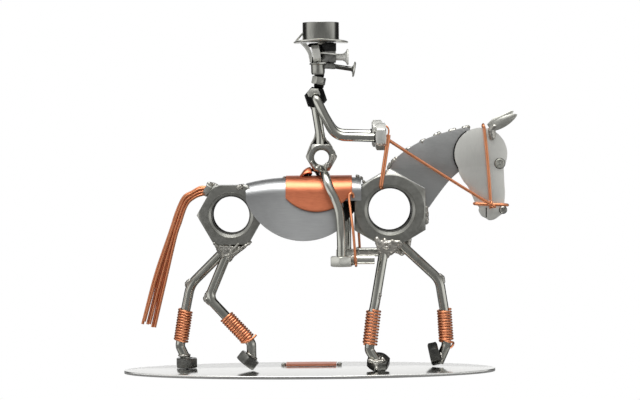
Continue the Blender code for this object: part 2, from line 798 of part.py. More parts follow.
def make_leg(name, steel):
    side = LEGS[name][0]
    line = leg_line(name)
    rod = tube("rod", bent(line[:4], 9 * UNIT, 2) + bent(line[4:], 2.6 * UNIT, 2), LEG_ROD)
    top = line[0]
    knee = line[2]
    below = (line[3] - knee).normalized()
    above = (line[1] - knee).normalized()
    outer = -(below + above).normalized()
    bulge = knee - outer * 1.2 * UNIT + outer * LEG_ROD * 0.28
    if name == "fore_near":
        bulge = line[3] + Vector((3.2, 0, 9.0)) * UNIT
    parts = [lump("knee", bulge, (1.7 * UNIT, 1.7 * UNIT, 3.4 * UNIT), below - above)]
    if name.startswith("hind"):
        spread = (9.5 * UNIT, 4.4 * UNIT, 6.5 * UNIT)
        heel = (4.4 * UNIT, 3.9 * UNIT, 7.0 * UNIT)
        base = Vector((CROUP.x - 0.4 * UNIT, top.y, CROUP.z - CROUP_NUT_AF / 2))
        parts.append(lump("weld", base, spread))
        parts.append(lump("weld", base + Vector((-1.6, 0, -5.0)) * UNIT, heel))
        cutters = [croup_guard()]
    else:
        corner = CHEST.z - CHEST_NUT_AF / math.sqrt(3)
        lean = -2.4 if side < 0 else 9.0
        spread = (8.6 * UNIT, 5.9 * UNIT, 6.4 * UNIT)
        base = Vector((CHEST.x + lean * UNIT, side * 9.0 * UNIT, corner + 5.0 * UNIT))
        parts.append(lump("weld", base, spread))
        heel = base + Vector((-1.6 if side < 0 else 1.0, 0, -5.4)) * UNIT
        heel.y = side * 7.4 * UNIT
        parts.append(lump("weld", heel, (4.6 * UNIT, 4.0 * UNIT, 6.0 * UNIT)))
        cutters = [chest_guard()]
    leg = joined(rod, *parts)
    cutters.append(guard(hoof_centre(name), HOOF_NUT_AF, HOOF_NUT_T, *hoof_turn(name)))
    leg = own_half(trimmed(leg, *cutters), side)
    finish(leg, f"leg_{name}", steel)


def make_wrap(name, copper):
    """The copper wire wound round the shank, as a sleeve ribbed once for each turn."""
    start, end = leg_line(name)[3:5]
    length = (end - start).length
    inner = LEG_ROD / 2 + GAP
    crest = inner + WRAP_WIRE
    valley = inner + WRAP_WIRE * 0.55
    pitch = length / WRAP_TURNS
    profile = [(inner, length / 2), (valley, length / 2)]
    for turn in range(WRAP_TURNS):
        z = length / 2 - (turn + 0.5) * pitch
        profile += [(crest, z), (valley, z - pitch / 2)]
    profile.append((inner, -length / 2))
    profile.append((inner, length / 2))
    sleeve = turned("wrap", profile, 8)
    finish(placed(sleeve, (start + end) / 2, start - end), f"leg_wrap_{name}", copper)


TAIL_SPINE = [(0.0, -0.4), (-2.9, -0.3), (-9.1, -2.5), (-13.6, -6.0), (-17.1, -13.3),
              (-21.8, -28.8), (-30.7, -59.5), (-38.7, -88.8)]
# How far apart the outermost two wires are at each of those points, in wire diameters
TAIL_SPREAD = [(0.0, 1.9), (0.1, 2.2), (0.5, 2.0), (1.05, 1.7), (1.6, 0.75), (1.25, 2.1),
               (2.4, 4.75), (3.9, 2.3)]


def make_tail(bright, copper):
    """A small nut on the croup nut's rear flat holds the copper wires of the tail."""
    normal = Vector((-math.cos(math.radians(30)), 0, math.sin(math.radians(30))))
    flat = Vector((math.sin(math.radians(30)), 0, math.cos(math.radians(30))))
    on_flat = CROUP + normal * (CROUP_NUT_AF / 2) + flat * (CROUP_NUT_AF / 2 * 0.34)
    centre = on_flat + normal * (TAIL_NUT_T / 2 + GAP)
    nut = placed(hex_nut("tail_nut", TAIL_NUT_AF, 0, TAIL_NUT_T), centre, normal)
    weld = lump("weld", centre + Vector((3.2, 0, 2.6)) * UNIT, (3.6 * UNIT, 2.6 * UNIT, 2.2 * UNIT))
    finish(trimmed(joined(nut, weld), croup_guard()), "tail_nut", bright)
    wires = []
    for index in range(TAIL_WIRES):
        share = index / (TAIL_WIRES - 1) - 0.5
        y = 0.55 - index % 2 * 1.1
        route = []
        for (x, z), (across, down) in zip(TAIL_SPINE, TAIL_SPREAD):
            beside = Vector((across * share, y, -down * share)) * TAIL_WIRE
            route.append(centre + Vector((x, 0, z)) * UNIT + beside)
        route[0].x += 0.2 * index * TAIL_WIRE
        route[-1].z += (-0.6, 2.4, 0.8, 1.8, 0.0)[index % 5] * UNIT
        wires.append(tube("wire", route, TAIL_WIRE, WIRE_RES))
    root = lump("root", centre + Vector((-TAIL_NUT_T / 2 - 1.4 * UNIT, 0, 0)),
                (0.85 * TAIL_WIRE, 1.26 * TAIL_WIRE, 1.8 * TAIL_WIRE))
    tail = joined(root, *wires)
    tail = trimmed(tail, guard(centre, TAIL_NUT_AF, TAIL_NUT_T, normal), croup_guard())
    finish(tail, "tail_wires", copper)


# Tack

def layer(side, count, wire):
    """The depth at which the count-th wire out from the head plate lies."""
    offset = HEAD_T / 2 + (count - 1) * (BRIDLE_WIRE + GAP) + GAP + wire / 2
    return HEAD_Y + side * offset


NOSEBAND = head_point(0, -32.4)


def make_bridle(copper):
    near = layer(-1, 1, BRIDLE_WIRE)
    far = layer(1, 1, BRIDLE_WIRE)
    route = [(5.9, -29.5), (4.9, -13.5), (3.6, 2.5), (2.2, 16.0)]
    top = HEAD_CENTRE.z + HEAD_DISC_R + GAP + BRIDLE_WIRE / 2 + 0.4 * UNIT
    line = [head_point(x, z) + Vector((0, near, 0)) for x, z in route]
    over = head_point(1.6, 0)
    line.append(Vector((over.x, near, top - 0.8 * UNIT)))
    line.append(Vector((over.x, (near + far) / 2, top + 0.3 * UNIT)))
    line.append(Vector((over.x, far, top - 0.8 * UNIT)))
    line += [head_point(x, z) + Vector((0, far, 0)) for x, z in reversed(route)]
    cheek = tube("cheek", line, BRIDLE_WIRE, WIRE_RES)
    finish(cheek, "bridle_cheek_wire", copper)
    near = layer(-1, 2, BRIDLE_WIRE)
    far = layer(1, 2, BRIDLE_WIRE)
    left = head_point(-5.3, 0).x
    right = head_point(16.9, 0).x
    middle = (near + far) / 2
    half = (far - near) / 2
    ring = []
    for index in range(15):
        angle = math.radians(-72 + 324 * index / 14)
        x = math.sin(angle)
        y = -math.cos(angle)
        wide = (right - left) / 2
        ring.append(Vector(((left + right) / 2 + wide * abs(x) ** 0.7 * math.copysign(1, x),
                            middle + half * abs(y) ** 0.45 * math.copysign(1, y),
                            NOSEBAND.z - 0.5 * UNIT * x)))
    finish(tube("noseband", ring, BRIDLE_WIRE, WIRE_RES), "noseband", copper)


def make_reins(copper):
    for label, side in (("near", -1), ("far", 1)):
        hand = HAND[side]
        start = hand + Vector((HAND_NUT_T / 2 + GAP, side * 2.0 * UNIT, -1.6 * UNIT))
        end = head_point(6.2, -32.6) + Vector((0, layer(side, 3, REIN_WIRE), 0))
        rein = tube("rein", [start, start.lerp(end, 0.5), end], REIN_WIRE, WIRE_RES)
        slab = guard(hand, HAND_NUT_AF, HAND_NUT_T, ALONG_X)
        finish(trimmed(rein, slab), f"rein_{label}", copper)


def make_rein_end(copper):
    """The rein's loose end, which drops from the hand and hooks into the chest nut's bore."""
    hand = HAND[-1]
    x = hand.x + HAND_NUT_T / 2 + GAP + REIN_WIRE / 2
    front = -(CHEST_NUT_T / 2 + GAP + REIN_WIRE / 2)
    radial = Vector((-math.sin(math.radians(21)), 0, math.cos(math.radians(21))))
    bore = CHEST_NUT_BORE / 2
    clear = (GAP + REIN_WIRE / 2) * 1.3
    line = [Vector((x + 0.2 * UNIT, hand.y - 4.4 * UNIT, hand.z + 5.4 * UNIT)),
            Vector((x + 0.5 * UNIT, hand.y - 4.8 * UNIT, hand.z + 2.0 * UNIT)),
            Vector((x + 0.4 * UNIT, hand.y - 5.0 * UNIT, hand.z - 3.0 * UNIT)),
            Vector((x + 0.1 * UNIT, front, hand.z - 10.0 * UNIT))]
    rim = CHEST + radial * (bore + CHEST_NUT_SINK)
    line.append(rim + Vector((1.2 * UNIT, front, 4.5 * UNIT)))
    line.append(rim + Vector((0, front, 0)))
    line.append(CHEST + radial * (bore + CHEST_NUT_SINK - clear)
                + Vector((0, front + 0.4 * REIN_WIRE, 0)))
    line.append(CHEST + radial * (bore - clear)
                + Vector((0, -CHEST_NUT_T / 2 + CHEST_NUT_SINK * 0.5, 0)))
    line.append(CHEST + radial * (bore - clear)
                + Vector((0, -CHEST_NUT_T / 2 + CHEST_NUT_SINK + 1.5 * UNIT, 0)))
    strap = tube("strap", line, REIN_WIRE, WIRE_RES)
    finish(strap, "rein_end", copper)


# Rider

def make_rider_nuts(steel, bright):
    hip = hex_nut("hip", HIP_NUT_AF, HIP_NUT_BORE, HIP_NUT_T, 12, 16, sink=0.8 * MM)
    finish(placed(hip, HIP, ALONG_Y), "hip_nut", steel)
    shoulder = hex_nut("shoulder", SHOULDER_NUT_AF, RIDER_ROD + 2 * ARM_FIT, SHOULDER_NUT_T)
    finish(placed(shoulder, SHOULDER, ALONG_Y, SHOULDER_TURN), "shoulder_nut", steel)
    for label, side in (("near", -1), ("far", 1)):
        hand = hex_nut("hand", HAND_NUT_AF, 0, HAND_NUT_T)
        finish(placed(hand, HAND[side], ALONG_X), f"hand_nut_{label}", bright)


def make_torso(steel):
    line = [above_hip(-0.8, 0, 4.0), above_hip(-1.0, 0, 16.0), above_hip(-3.6, 0, 33.0)]
    rod = tube("torso", line, RIDER_ROD)
    bm = bmesh.new()
    bmesh.ops.create_cone(bm, cap_ends=True, segments=ROUND, radius1=6.6 * UNIT,
                          radius2=RIDER_ROD / 2, depth=7.5 * UNIT)
    for vert in bm.verts:
        vert.co.y *= 0.6
    flare = placed(from_bmesh("flare", bm), above_hip(-1.0, 0, HIP_NUT_AF / 2 / UNIT + 2.6))
    torso = trimmed(joined(rod, flare), hip_guard(), shoulder_guard())
    finish(torso, "torso_rod", steel)


def make_arm(side, label, steel):
    """The arm leaves the shoulder nut's bore, bends forward and butts on the hand nut."""
    reach = HAND[side]
    raise_by = (reach.z - HAND[-1].z) / UNIT
    y = side * abs(reach.y)
    line = [SHOULDER + Vector((0, side * GAP / 2, 0)),
            SHOULDER + Vector((0, side * (SHOULDER_NUT_T / 2 + RIDER_ROD * 0.75), 0)),
            Vector((SHOULDER.x + 5.4 * UNIT, y, SHOULDER.z - 11.5 * UNIT)),
            Vector((SHOULDER.x + 12.4 * UNIT, y, SHOULDER.z - (24.9 - raise_by) * UNIT)),
            Vector((reach.x - HAND_NUT_T, y, reach.z - 0.4 * UNIT)),
            Vector((reach.x, y, reach.z - 0.4 * UNIT))]
    arm = tube("arm", bent(line, 8 * UNIT, 2), RIDER_ROD)
    hand = guard(reach, HAND_NUT_AF, HAND_NUT_T, ALONG_X)
    finish(trimmed(arm, hand), f"arm_{label}", steel)


RIDER_LEG_LIFT = SADDLE_LIFT + SADDLE_T / 2 + GAP + RIDER_ROD / 2 + 0.15 * MM
BOOT = {-1: Vector((21.2 * UNIT, 0, HIP.z - 65.5 * UNIT)),
        1: Vector((24.8 * UNIT, 0, HIP.z - 63.8 * UNIT))}


def boot_centre(side):
    """The boot hangs below the leg, which runs down outside the saddle flap."""
    place = BOOT[side].copy()
    place.y = side * (abs(beside(place.x, HIP.z - 44 * UNIT).y) + 1.8 * UNIT)
    return place


def beside(x, z):
    """The near point at a height where a leg rod just clears the saddle."""
    return lifted(x, reach_at(x, z, RIDER_LEG_LIFT), RIDER_LEG_LIFT)


def make_rider_leg(side, label, steel):
    boot = boot_centre(side)
    shift = boot.x - BOOT[-1].x
    line = [HIP + Vector((0, side * 1.9, -HIP_NUT_AF / 2 / UNIT + 3.0)) * UNIT]
    line[0].y = side * (RIDER_ROD / 2 + GAP)
    for x, drop in ((2.0, 11.0), (3.6, 15.5), (5.8, 21.0), (8.4, 26.6), (10.4, 33.0), (11.2, 39.5)):
        share = (drop - 11.0) / 28.5
        place = beside(HIP.x + x * UNIT + shift * share, HIP.z - drop * UNIT)
        place.y = side * abs(place.y)
        line.append(place)
    line.append(Vector((boot.x, boot.y, boot.z + 14 * UNIT)))
    line.append(Vector((boot.x, boot.y, boot.z)))
    rod = tube("leg", line, RIDER_ROD)
    weld = lump("weld", HIP + Vector((0.6, side * 2.6, -HIP_NUT_AF / 2 / UNIT - 0.4)) * UNIT,
                (4.6 * UNIT, 2.6 * UNIT, 2.6 * UNIT))
    leg = trimmed(joined(rod, weld), hip_guard(),
                  guard(boot, BOOT_NUT_AF, BOOT_NUT_T, (0, 0, 1), BOOT_TURN))
    finish(own_half(leg, side), f"rider_leg_{label}", steel)


def make_boot(side, label, steel):
    boot = boot_centre(side)
    nut = placed(hex_nut("boot", BOOT_NUT_AF, 0, BOOT_NUT_T), boot, (0, 0, 1), BOOT_TURN)
    finish(nut, f"boot_nut_{label}", steel)
    toe_z = boot.z + 1.1 * UNIT
    heel = Vector((boot.x + RIDER_ROD / 2 + 1.5 * UNIT, boot.y, toe_z))
    toe = tube("toe", [heel, Vector((boot.x + 20.8 * UNIT, boot.y, toe_z))], TOE_ROD)
    weld = lump("weld", Vector((boot.x + BOOT_NUT_AF / 2 + 1.0 * UNIT, boot.y, toe_z)),
                (2.0 * UNIT, 3.4 * UNIT, 3.2 * UNIT))
    toe = trimmed(joined(toe, weld), guard(boot, BOOT_NUT_AF, BOOT_NUT_T, (0, 0, 1), BOOT_TURN))
    finish(toe, f"toe_rod_{label}", steel)


def make_stirrup(side, label, copper):
    """A wire that hooks on the barrel's front edge and hangs outside the toe."""
    boot = boot_centre(side)
    top = BARREL_X + BARREL_HALF_LENGTH - (7.8 if side < 0 else 5.2) * UNIT
    lift = BARREL_T / 2 + GAP + STIRRUP_WIRE / 2 + 0.1 * MM
    hook = lifted(top, reach_at(top, HIP.z - 23.5 * UNIT, lift), lift)
    outer = abs(boot.y) + TOE_ROD / 2 + GAP + STIRRUP_WIRE / 2
    toe_z = boot.z + 1.1 * UNIT
    under = toe_z - TOE_ROD / 2 - GAP - STIRRUP_WIRE / 2
    x = boot.x + 8.6 * UNIT
    places = [(hook.x + 0.6 * UNIT, abs(hook.y), hook.z - 2.0 * UNIT),
              (hook.x + 0.4 * UNIT, abs(hook.y) + 0.5 * UNIT, hook.z + 0.4 * UNIT),
              (hook.x - 1.1 * UNIT, abs(hook.y) + 2.2 * UNIT, hook.z + 0.6 * UNIT),
              (hook.x - 2.0 * UNIT, abs(hook.y) + 3.6 * UNIT, hook.z - 3.0 * UNIT),
              (x - 1.2 * UNIT, outer - 1.6 * UNIT, toe_z + 18.0 * UNIT),
              (x, outer, toe_z + 1.5 * UNIT),
              (x + 0.3 * UNIT, outer - 0.1 * TOE_ROD, toe_z - 0.4 * TOE_ROD),
              (x + 0.5 * UNIT, abs(boot.y), under)]
    line = [Vector((px, side * py, pz)) for px, py, pz in places]
    finish(tube("stirrup", line, STIRRUP_WIRE, WIRE_RES), f"stirrup_{label}", copper)


# Rider's head, built up from the shoulder nut

NECK_NUT = SHOULDER + Vector((2.0 * UNIT, 0, SHOULDER_NUT_AF / 2 + NECK_NUT_T / 2 + 2.0 * UNIT))
JAW = SHOULDER + Vector((1.6, 0, 18.6)) * UNIT
BRIM_Z = SHOULDER.z + 35.6 * UNIT
FACE = Vector((SHOULDER.x + 8.6 * UNIT, 0, 0))
SKULL = SHOULDER + Vector((0.6, 0, 28.3)) * UNIT
SKULL_TILT = (math.cos(math.radians(8)), 0, math.sin(math.radians(8)))


def make_neck_nut(steel):
    """A small tilted nut between shoulder and jaw, welded on both."""
    tilt = (0.2, 0, 1)
    nut = placed(hex_nut("neck", NECK_NUT_AF, 0, NECK_NUT_T), NECK_NUT, tilt, math.radians(15))
    stub = lump("stub", NECK_NUT + Vector((0, 0, -NECK_NUT_T * 0.6)), (3.0 * UNIT, 3.0 * UNIT,
                                                                       NECK_NUT_T * 0.7))
    cap = lump("cap", NECK_NUT + Vector((0, 0, NECK_NUT_T * 0.55)), (3.4 * UNIT, 3.4 * UNIT,
                                                                     NECK_NUT_T * 0.6))
    ceiling = block(JAW + Vector((0, 0, -JAW_H / 2 - GAP + 10 * UNIT)), (40 * UNIT, 40 * UNIT, 20 * UNIT))
    neck = trimmed(joined(nut, stub, cap), shoulder_guard(), ceiling)
    finish(neck, "rider_neck_nut", steel)


def make_jaw(steel):
    """A short stud under the head, with a washer on top that carries skull and face."""
    top = JAW_H / 2
    profile = [(0, top), (JAW_R, top), (JAW_R, top - FLANGE_T), (0.8 * JAW_R, top - FLANGE_T),
               (0.73 * JAW_R, -top), (0, -top)]
    jaw = turned("jaw", profile, 16)
    finish(placed(jaw, JAW), "rider_jaw", steel)


def make_skull(bright, steel):
    nut = placed(hex_nut("skull", SKULL_NUT_AF, 0, SKULL_NUT_T), SKULL, SKULL_TILT, math.radians(30))
    weld = lump("weld", SKULL + Vector((2.6, 0, 6.0)) * UNIT, (3.6 * UNIT, 3.0 * UNIT, 2.2 * UNIT))
    foot = lump("foot", SKULL + Vector((0.6, 0, -5.4)) * UNIT, (2.4 * UNIT, 3.0 * UNIT, 1.6 * UNIT))
    floor = block(JAW + Vector((0, 0, JAW_H / 2 + GAP - 10 * UNIT)), (40 * UNIT, 40 * UNIT, 20 * UNIT))
    skull = trimmed(joined(nut, weld, foot), floor, hat_guard(), face_guard())
    finish(skull, "skull_nut", bright)
    line = [(-9.2, 34.9), (-7.2, 33.6), (-5.8, 31.6), (-4.3, 28.2), (-3.7, 25.0), (-3.6, 22.6)]
    inner = [(x + SKULL_STRIP_T / UNIT, z - 0.2) for x, z in reversed(line)]
    outline = [(SHOULDER.x + x * UNIT, SHOULDER.z + z * UNIT) for x, z in line + inner]
    strip = plate("strip", outline, SKULL_STRIP_WIDTH)
    tack = lump("tack", SHOULDER + Vector((-2.8, 0, 24.0)) * UNIT, (1.6 * UNIT, 3.0 * UNIT, 2.0 * UNIT))
    washer = disc("washer", JAW_R + GAP, JAW_H + 2 * GAP, 16)
    strip = trimmed(joined(strip, tack), hat_guard(), placed(washer, JAW))
    skull_block = guard(SKULL, SKULL_NUT_AF, SKULL_NUT_T, SKULL_TILT, math.radians(30))
    finish(trimmed(strip, skull_block), "skull_strip", steel)


def hat_guard():
    """The room above the brim's underside."""
    return block((FACE.x, 0, BRIM_Z - GAP + 20 * UNIT), (80 * UNIT, 80 * UNIT, 40 * UNIT))


def face_guard():
    low = JAW.z + JAW_H / 2
    size = (FACE_NUT_AF + 2 * GAP, 3 * FACE_NUT_AF, BRIM_Z - low + 4 * GAP)
    return block((FACE.x, 0, (BRIM_Z + low) / 2), size)


def make_face(steel, bright):
    """The face is a stud with two small nuts, between the jaw's washer and the hat."""
    low = SHOULDER.z + 18.6 * UNIT
    high = BRIM_Z - GAP
    stud = disc("stud", FACE_NUT_AF * 0.36, high - low, ROUND)
    stud = placed(stud, (FACE.x, 0, (low + high) / 2))
    nuts = []
    for z, tall in ((20.6, 3.8), (26.0, 4.4), (31.4, 3.0)):
        nut = hexagon("nut", FACE_NUT_AF, tall * UNIT)
        nuts.append(placed(nut, (FACE.x, 0, SHOULDER.z + z * UNIT), turn=math.radians(30)))
    washer = disc("washer", JAW_R + GAP, JAW_H + 2 * GAP, 16)
    face = trimmed(joined(stud, *nuts), placed(washer, JAW))
    finish(face, "face_nuts", steel)
    nose_z = SHOULDER.z + 26.0 * UNIT
    front = FACE.x + FACE_NUT_AF / 2 + GAP
    shank = NOSE_SHANK / 2
    length = 8.4 * UNIT
    profile = [(0, length), (NOSE_HEAD / 2 * 0.9, length), (NOSE_HEAD / 2, length - 0.5 * UNIT),
               (NOSE_HEAD / 2, length - 1.3 * UNIT), (shank * 1.5, length - 2.0 * UNIT),
               (shank, length - 4.0 * UNIT), (shank, 0), (0, 0)]
    nose = placed(turned("nose", profile, ROUND), (front, 0, nose_z), ALONG_X)
    finish(nose, "nose_rivet", bright)
    nail_z = SHOULDER.z + 20.0 * UNIT
    shank = NAIL_SHANK / 2
    length = 12.8 * UNIT
    profile = [(0, length), (NAIL_HEAD / 2 * 0.8, length), (NAIL_HEAD / 2, length - 0.7 * UNIT),
               (NAIL_HEAD / 2, length - 1.2 * UNIT), (shank, length - 2.2 * UNIT), (shank, 0), (0, 0)]
    nail = placed(turned("nail", profile, ROUND), (front, 0, nail_z), (1, 0, -0.16))
    wall = block((front - 5 * UNIT, 0, nail_z), (10 * UNIT, 20 * UNIT, 20 * UNIT))
    finish(trimmed(nail, wall), "chin_nail", steel)


def make_hat(steel):
    """A turned crown on a brim that dips in front and behind, with a small strut at the back."""
    hat_x = SHOULDER.x + 3.6 * UNIT
    top = HAT_H + BRIM_T
    edge = 0.9 * UNIT
    profile = [(0, top), (HAT_R - edge, top), (HAT_R, top - edge), (HAT_R, BRIM_T),
               (BRIM_R, BRIM_T), (BRIM_R, 0), (HAT_R, 0), (0, 0)]
    hat = turned("hat", profile, 20)
    for vert in hat.data.vertices:
        out = max(0.0, math.hypot(vert.co.x, vert.co.y) - HAT_R) / (BRIM_R - HAT_R)
        if out > 0:
            share = vert.co.x ** 2 / (vert.co.x ** 2 + vert.co.y ** 2)
            vert.co.z += out * (1.6 - 2.3 * share) * UNIT
    place = Vector((hat_x, 0, BRIM_Z))
    hat = placed(hat, place)
    strut = tube("strut", [place + Vector((-HAT_R + 0.3 * UNIT, 0, 6.0 * UNIT)),
                           place + Vector((-HAT_R - 4.2 * UNIT, 0, 0.9 * UNIT))], 1.2 * UNIT, WIRE_RES)
    finish(joined(hat, strut), "top_hat", steel)


def build():
    steel = metal("steel", STEEL, 0.35)
    bright = metal("bright_steel", BRIGHT, 0.25)
    copper = metal("copper", COPPER, 0.3)
    make_base(steel)
    make_plaque(copper, bright)
    make_body_nuts(steel)
    make_barrel(steel)
    make_saddle(copper)
    make_neck(steel)
    make_head(bright)
    make_ears(bright)
    make_hooves(steel)
    for name in LEGS:
        make_leg(name, steel)
        make_wrap(name, copper)
    make_tail(bright, copper)
    make_bridle(copper)
    make_reins(copper)
    make_rein_end(copper)
    make_rider_nuts(steel, bright)
    make_torso(steel)
    for label, side in (("near", -1), ("far", 1)):
        make_arm(side, label, steel)
        make_rider_leg(side, label, steel)
        make_boot(side, label, steel)
        make_stirrup(side, label, copper)
    make_neck_nut(steel)
    make_jaw(steel)
    make_skull(bright, steel)
    make_face(steel, bright)
    make_hat(steel)


clear_scene()
FIGURE = new_collection("horse_and_rider")
CUTTERS = new_collection("cutters")
build()
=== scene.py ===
"""Looks of a dressage rider welded from nuts, steel rod, sheet and copper wire.

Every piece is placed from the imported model's own boxes. The near side faces the camera at -Y.
"""

import math

import bmesh
import bpy
from mathutils import Matrix, Quaternion, Vector, noise


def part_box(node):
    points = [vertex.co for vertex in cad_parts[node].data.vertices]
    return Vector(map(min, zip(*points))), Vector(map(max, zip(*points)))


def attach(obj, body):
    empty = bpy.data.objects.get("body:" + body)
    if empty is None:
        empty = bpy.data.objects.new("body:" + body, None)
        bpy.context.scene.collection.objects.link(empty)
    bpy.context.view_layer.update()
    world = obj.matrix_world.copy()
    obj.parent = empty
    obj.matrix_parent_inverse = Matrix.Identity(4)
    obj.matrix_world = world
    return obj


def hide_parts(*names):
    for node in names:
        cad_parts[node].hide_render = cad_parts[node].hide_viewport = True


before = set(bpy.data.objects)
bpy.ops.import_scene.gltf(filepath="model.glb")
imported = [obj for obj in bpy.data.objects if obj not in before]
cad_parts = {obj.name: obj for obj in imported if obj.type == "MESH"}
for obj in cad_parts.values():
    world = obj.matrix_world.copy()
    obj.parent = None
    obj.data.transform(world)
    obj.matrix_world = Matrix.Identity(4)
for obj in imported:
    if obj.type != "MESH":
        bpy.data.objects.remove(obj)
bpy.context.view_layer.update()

MM = 0.001
ALONG_X = Vector((1, 0, 0))
ALONG_Y = Vector((0, 1, 0))
ALONG_Z = Vector((0, 0, 1))
SIDES = (("near", -1), ("far", 1))


# Places and sizes read from the frame

def middle(node):
    low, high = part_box(node)
    return (low + high) / 2


def span(node):
    low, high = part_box(node)
    return high - low


def mm(x, y, z):
    return Vector((x, y, z)) * MM


CROUP = middle("croup_nut")
CROUP_AF = span("croup_nut").z
CROUP_T = span("croup_nut").y
CHEST = middle("chest_nut")
CHEST_AF = span("chest_nut").x
CHEST_T = span("chest_nut").y
HIP = middle("hip_nut")
HIP_AF = span("hip_nut").z
HIP_T = span("hip_nut").y
SHOULDER = middle("shoulder_nut")
SHOULDER_AF = 13.0 * MM
HAND = {-1: middle("hand_nut_near"), 1: middle("hand_nut_far")}
HAND_AF = span("hand_nut_near").y
HAND_T = span("hand_nut_near").x
BOOT = {-1: middle("boot_nut_near"), 1: middle("boot_nut_far")}
BOOT_AF = 13.0 * MM
JAW = middle("rider_jaw")
BASE_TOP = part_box("base_plate")[1].z
ROD = 6.0 * MM
LEG_ROD = 6.2 * MM
WIRE = 1.9 * MM
POINT_UP = math.radians(30)


# Materials: sRGB colours turned to linear by one function

def linear(hex_colour):
    channels = [int(hex_colour[i:i + 2], 16) / 255 for i in (1, 3, 5)]
    return [c / 12.92 if c <= 0.04045 else ((c + 0.055) / 1.055) ** 2.4 for c in channels] + [1.0]


def add(tree, kind, inputs=None, **settings):
    """Adds one node. Inputs are sockets or values by name or index, settings are its own."""
    node = tree.nodes.new(kind)
    for key, value in settings.items():
        if hasattr(node, key):
            setattr(node, key, value)
        else:
            node.inputs[key.replace("_", " ")].default_value = value
    for key, source in (inputs or {}).items():
        if isinstance(source, bpy.types.NodeSocket):
            tree.links.new(source, node.inputs[key])
        else:
            node.inputs[key].default_value = source
    return node


def mixed(tree, factor, first, second):
    """The colour between two, as a socket."""
    return add(tree, "ShaderNodeMix", {"Factor": factor, 6: first, 7: second},
               data_type="RGBA").outputs[2]


def metal(name, colour, shade, roughness, spread, grain_mm, stretch=(1, 1, 1), bump=0.0,
          blotch_mm=14.0, metallic=1.0):
    """A bare metal: a blotchy colour, and a grain that varies gloss and relief."""
    material = bpy.data.materials.new(name)
    material.use_nodes = True
    tree = material.node_tree
    shader = tree.nodes["Principled BSDF"]
    shader.inputs["Metallic"].default_value = metallic
    place = add(tree, "ShaderNodeTexCoord").outputs["Object"]
    stretched = add(tree, "ShaderNodeMapping", {"Vector": place}, Scale=stretch)
    grain = add(tree, "ShaderNodeTexNoise", {"Vector": stretched.outputs["Vector"]},
                Scale=1000 / grain_mm, Detail=4.0, Roughness=0.6)
    blotch = add(tree, "ShaderNodeTexNoise", {"Vector": place}, Scale=1000 / blotch_mm, Detail=3.0)
    both = add(tree, "ShaderNodeMath", {0: grain.outputs["Fac"], 1: blotch.outputs["Fac"]},
               operation="ADD")
    mix = add(tree, "ShaderNodeMapRange", {"Value": both.outputs["Value"]}, From_Min=0.7,
              From_Max=1.3)
    tint = mixed(tree, mix.outputs["Result"], linear(shade), linear(colour))
    tree.links.new(tint, shader.inputs["Base Color"])
    gloss = add(tree, "ShaderNodeMapRange", {"Value": grain.outputs["Fac"]}, From_Min=0.3,
                From_Max=0.7, To_Min=roughness - spread, To_Max=roughness + spread)
    tree.links.new(gloss.outputs["Result"], shader.inputs["Roughness"])
    if bump:
        relief = add(tree, "ShaderNodeBump", {"Height": grain.outputs["Fac"]}, Strength=0.6,
                     Distance=bump * MM)
        tree.links.new(relief.outputs["Normal"], shader.inputs["Normal"])
    return material


# Cold-rolled sheet, brushed along the horse: long fine lines and a soft sheen
SHEET_STEEL = metal("brushed_sheet_steel", "#a9aaaa", "#9e9f9f", 0.40, 0.03, 0.7, (0.06, 1, 1),
                    0.002)
# Sanded laser-cut plate, paler than the sheet because it is left matt
PLATE_STEEL = metal("sanded_plate_steel", "#ecece6", "#e2e2dc", 0.44, 0.04, 0.5, (1, 1, 0.12),
                    0.002)
# The neck's plate as it came from the mill: greyer, with a faint grain along it
NECK_STEEL = metal("mill_plate_steel", "#b4b5b4", "#a8a9a8", 0.44, 0.04, 0.6, (0.3, 1, 1), 0.003)
# Forged nuts ground clean: mid grey, mottled
NUT_STEEL = metal("ground_forged_steel", "#aeaea8", "#92928b", 0.32, 0.03, 2.6, bump=0.004,
                  blotch_mm=9.0)
# Darker nut steel: painted shade in the nuts' threads, and a darker tone on the hooves, the face's
# small nuts and the chin nail
DARK_NUT_AND_SHADE = metal("dark_nut_steel_and_painted_shade", "#6c6c68", "#525250", 0.28, 0.03, 2.6, bump=0.004,
                 blotch_mm=9.0)
# Polished small nuts, rivets and ears: bright, with a soft edge to what they reflect
BRIGHT_STEEL = metal("polished_nut_steel", "#d6d6ce", "#bebeb6", 0.32, 0.04, 0.8)
# Zinc-bright nut of the skull, matt enough to take light from all sides
PALE_STEEL = metal("zinc_bright_steel", "#f6f6f0", "#ecece4", 0.40, 0.05, 0.8, metallic=0.15)
# Drawn bar, buffed: a clear reflection with faint lines along it
ROD_STEEL = metal("buffed_bar_steel", "#bcbcb4", "#a8a8a0", 0.17, 0.03, 3.0, (1, 1, 0.2))
# Weld metal, brushed after welding: warm grey and lumpy
WELD_STEEL = metal("brushed_weld_metal", "#cfccc4", "#b0ada5", 0.40, 0.05, 2.4, bump=0.004,
                   blotch_mm=5.0)
# Weld metal left with its dark skin, worn bright on the high places
DARK_WELD = metal("dark_weld_metal", "#c4c2ba", "#93918a", 0.34, 0.05, 2.4, bump=0.008,
                  blotch_mm=5.0)
# Nearly black steel: painted shade inside the barrel, under the hip nut, in the mouth slits, round
# the head plate and the rivets, on the shoulder nut, round the skull nut and on the face's stud;
# also nearly black on the neck and wrist welds and the waist web
BLACK_STEEL_AND_SHADE = metal("black_steel_and_painted_shade", "#343433", "#121212", 0.30, 0.08, 0.8, bump=0.01)
# Polished plate of the base: pale, with a clear reflection drawn out along it
BASE_STEEL = metal("polished_base_steel", "#e8e8e5", "#e2e2df", 0.18, 0.02, 0.8, (0.03, 1, 1))
# Turned hat crown: a soft polish with faint rings
HAT_STEEL = metal("turned_hat_steel", "#9c9c96", "#8e8e88", 0.22, 0.03, 0.5, (1, 1, 0.1), 0.002)
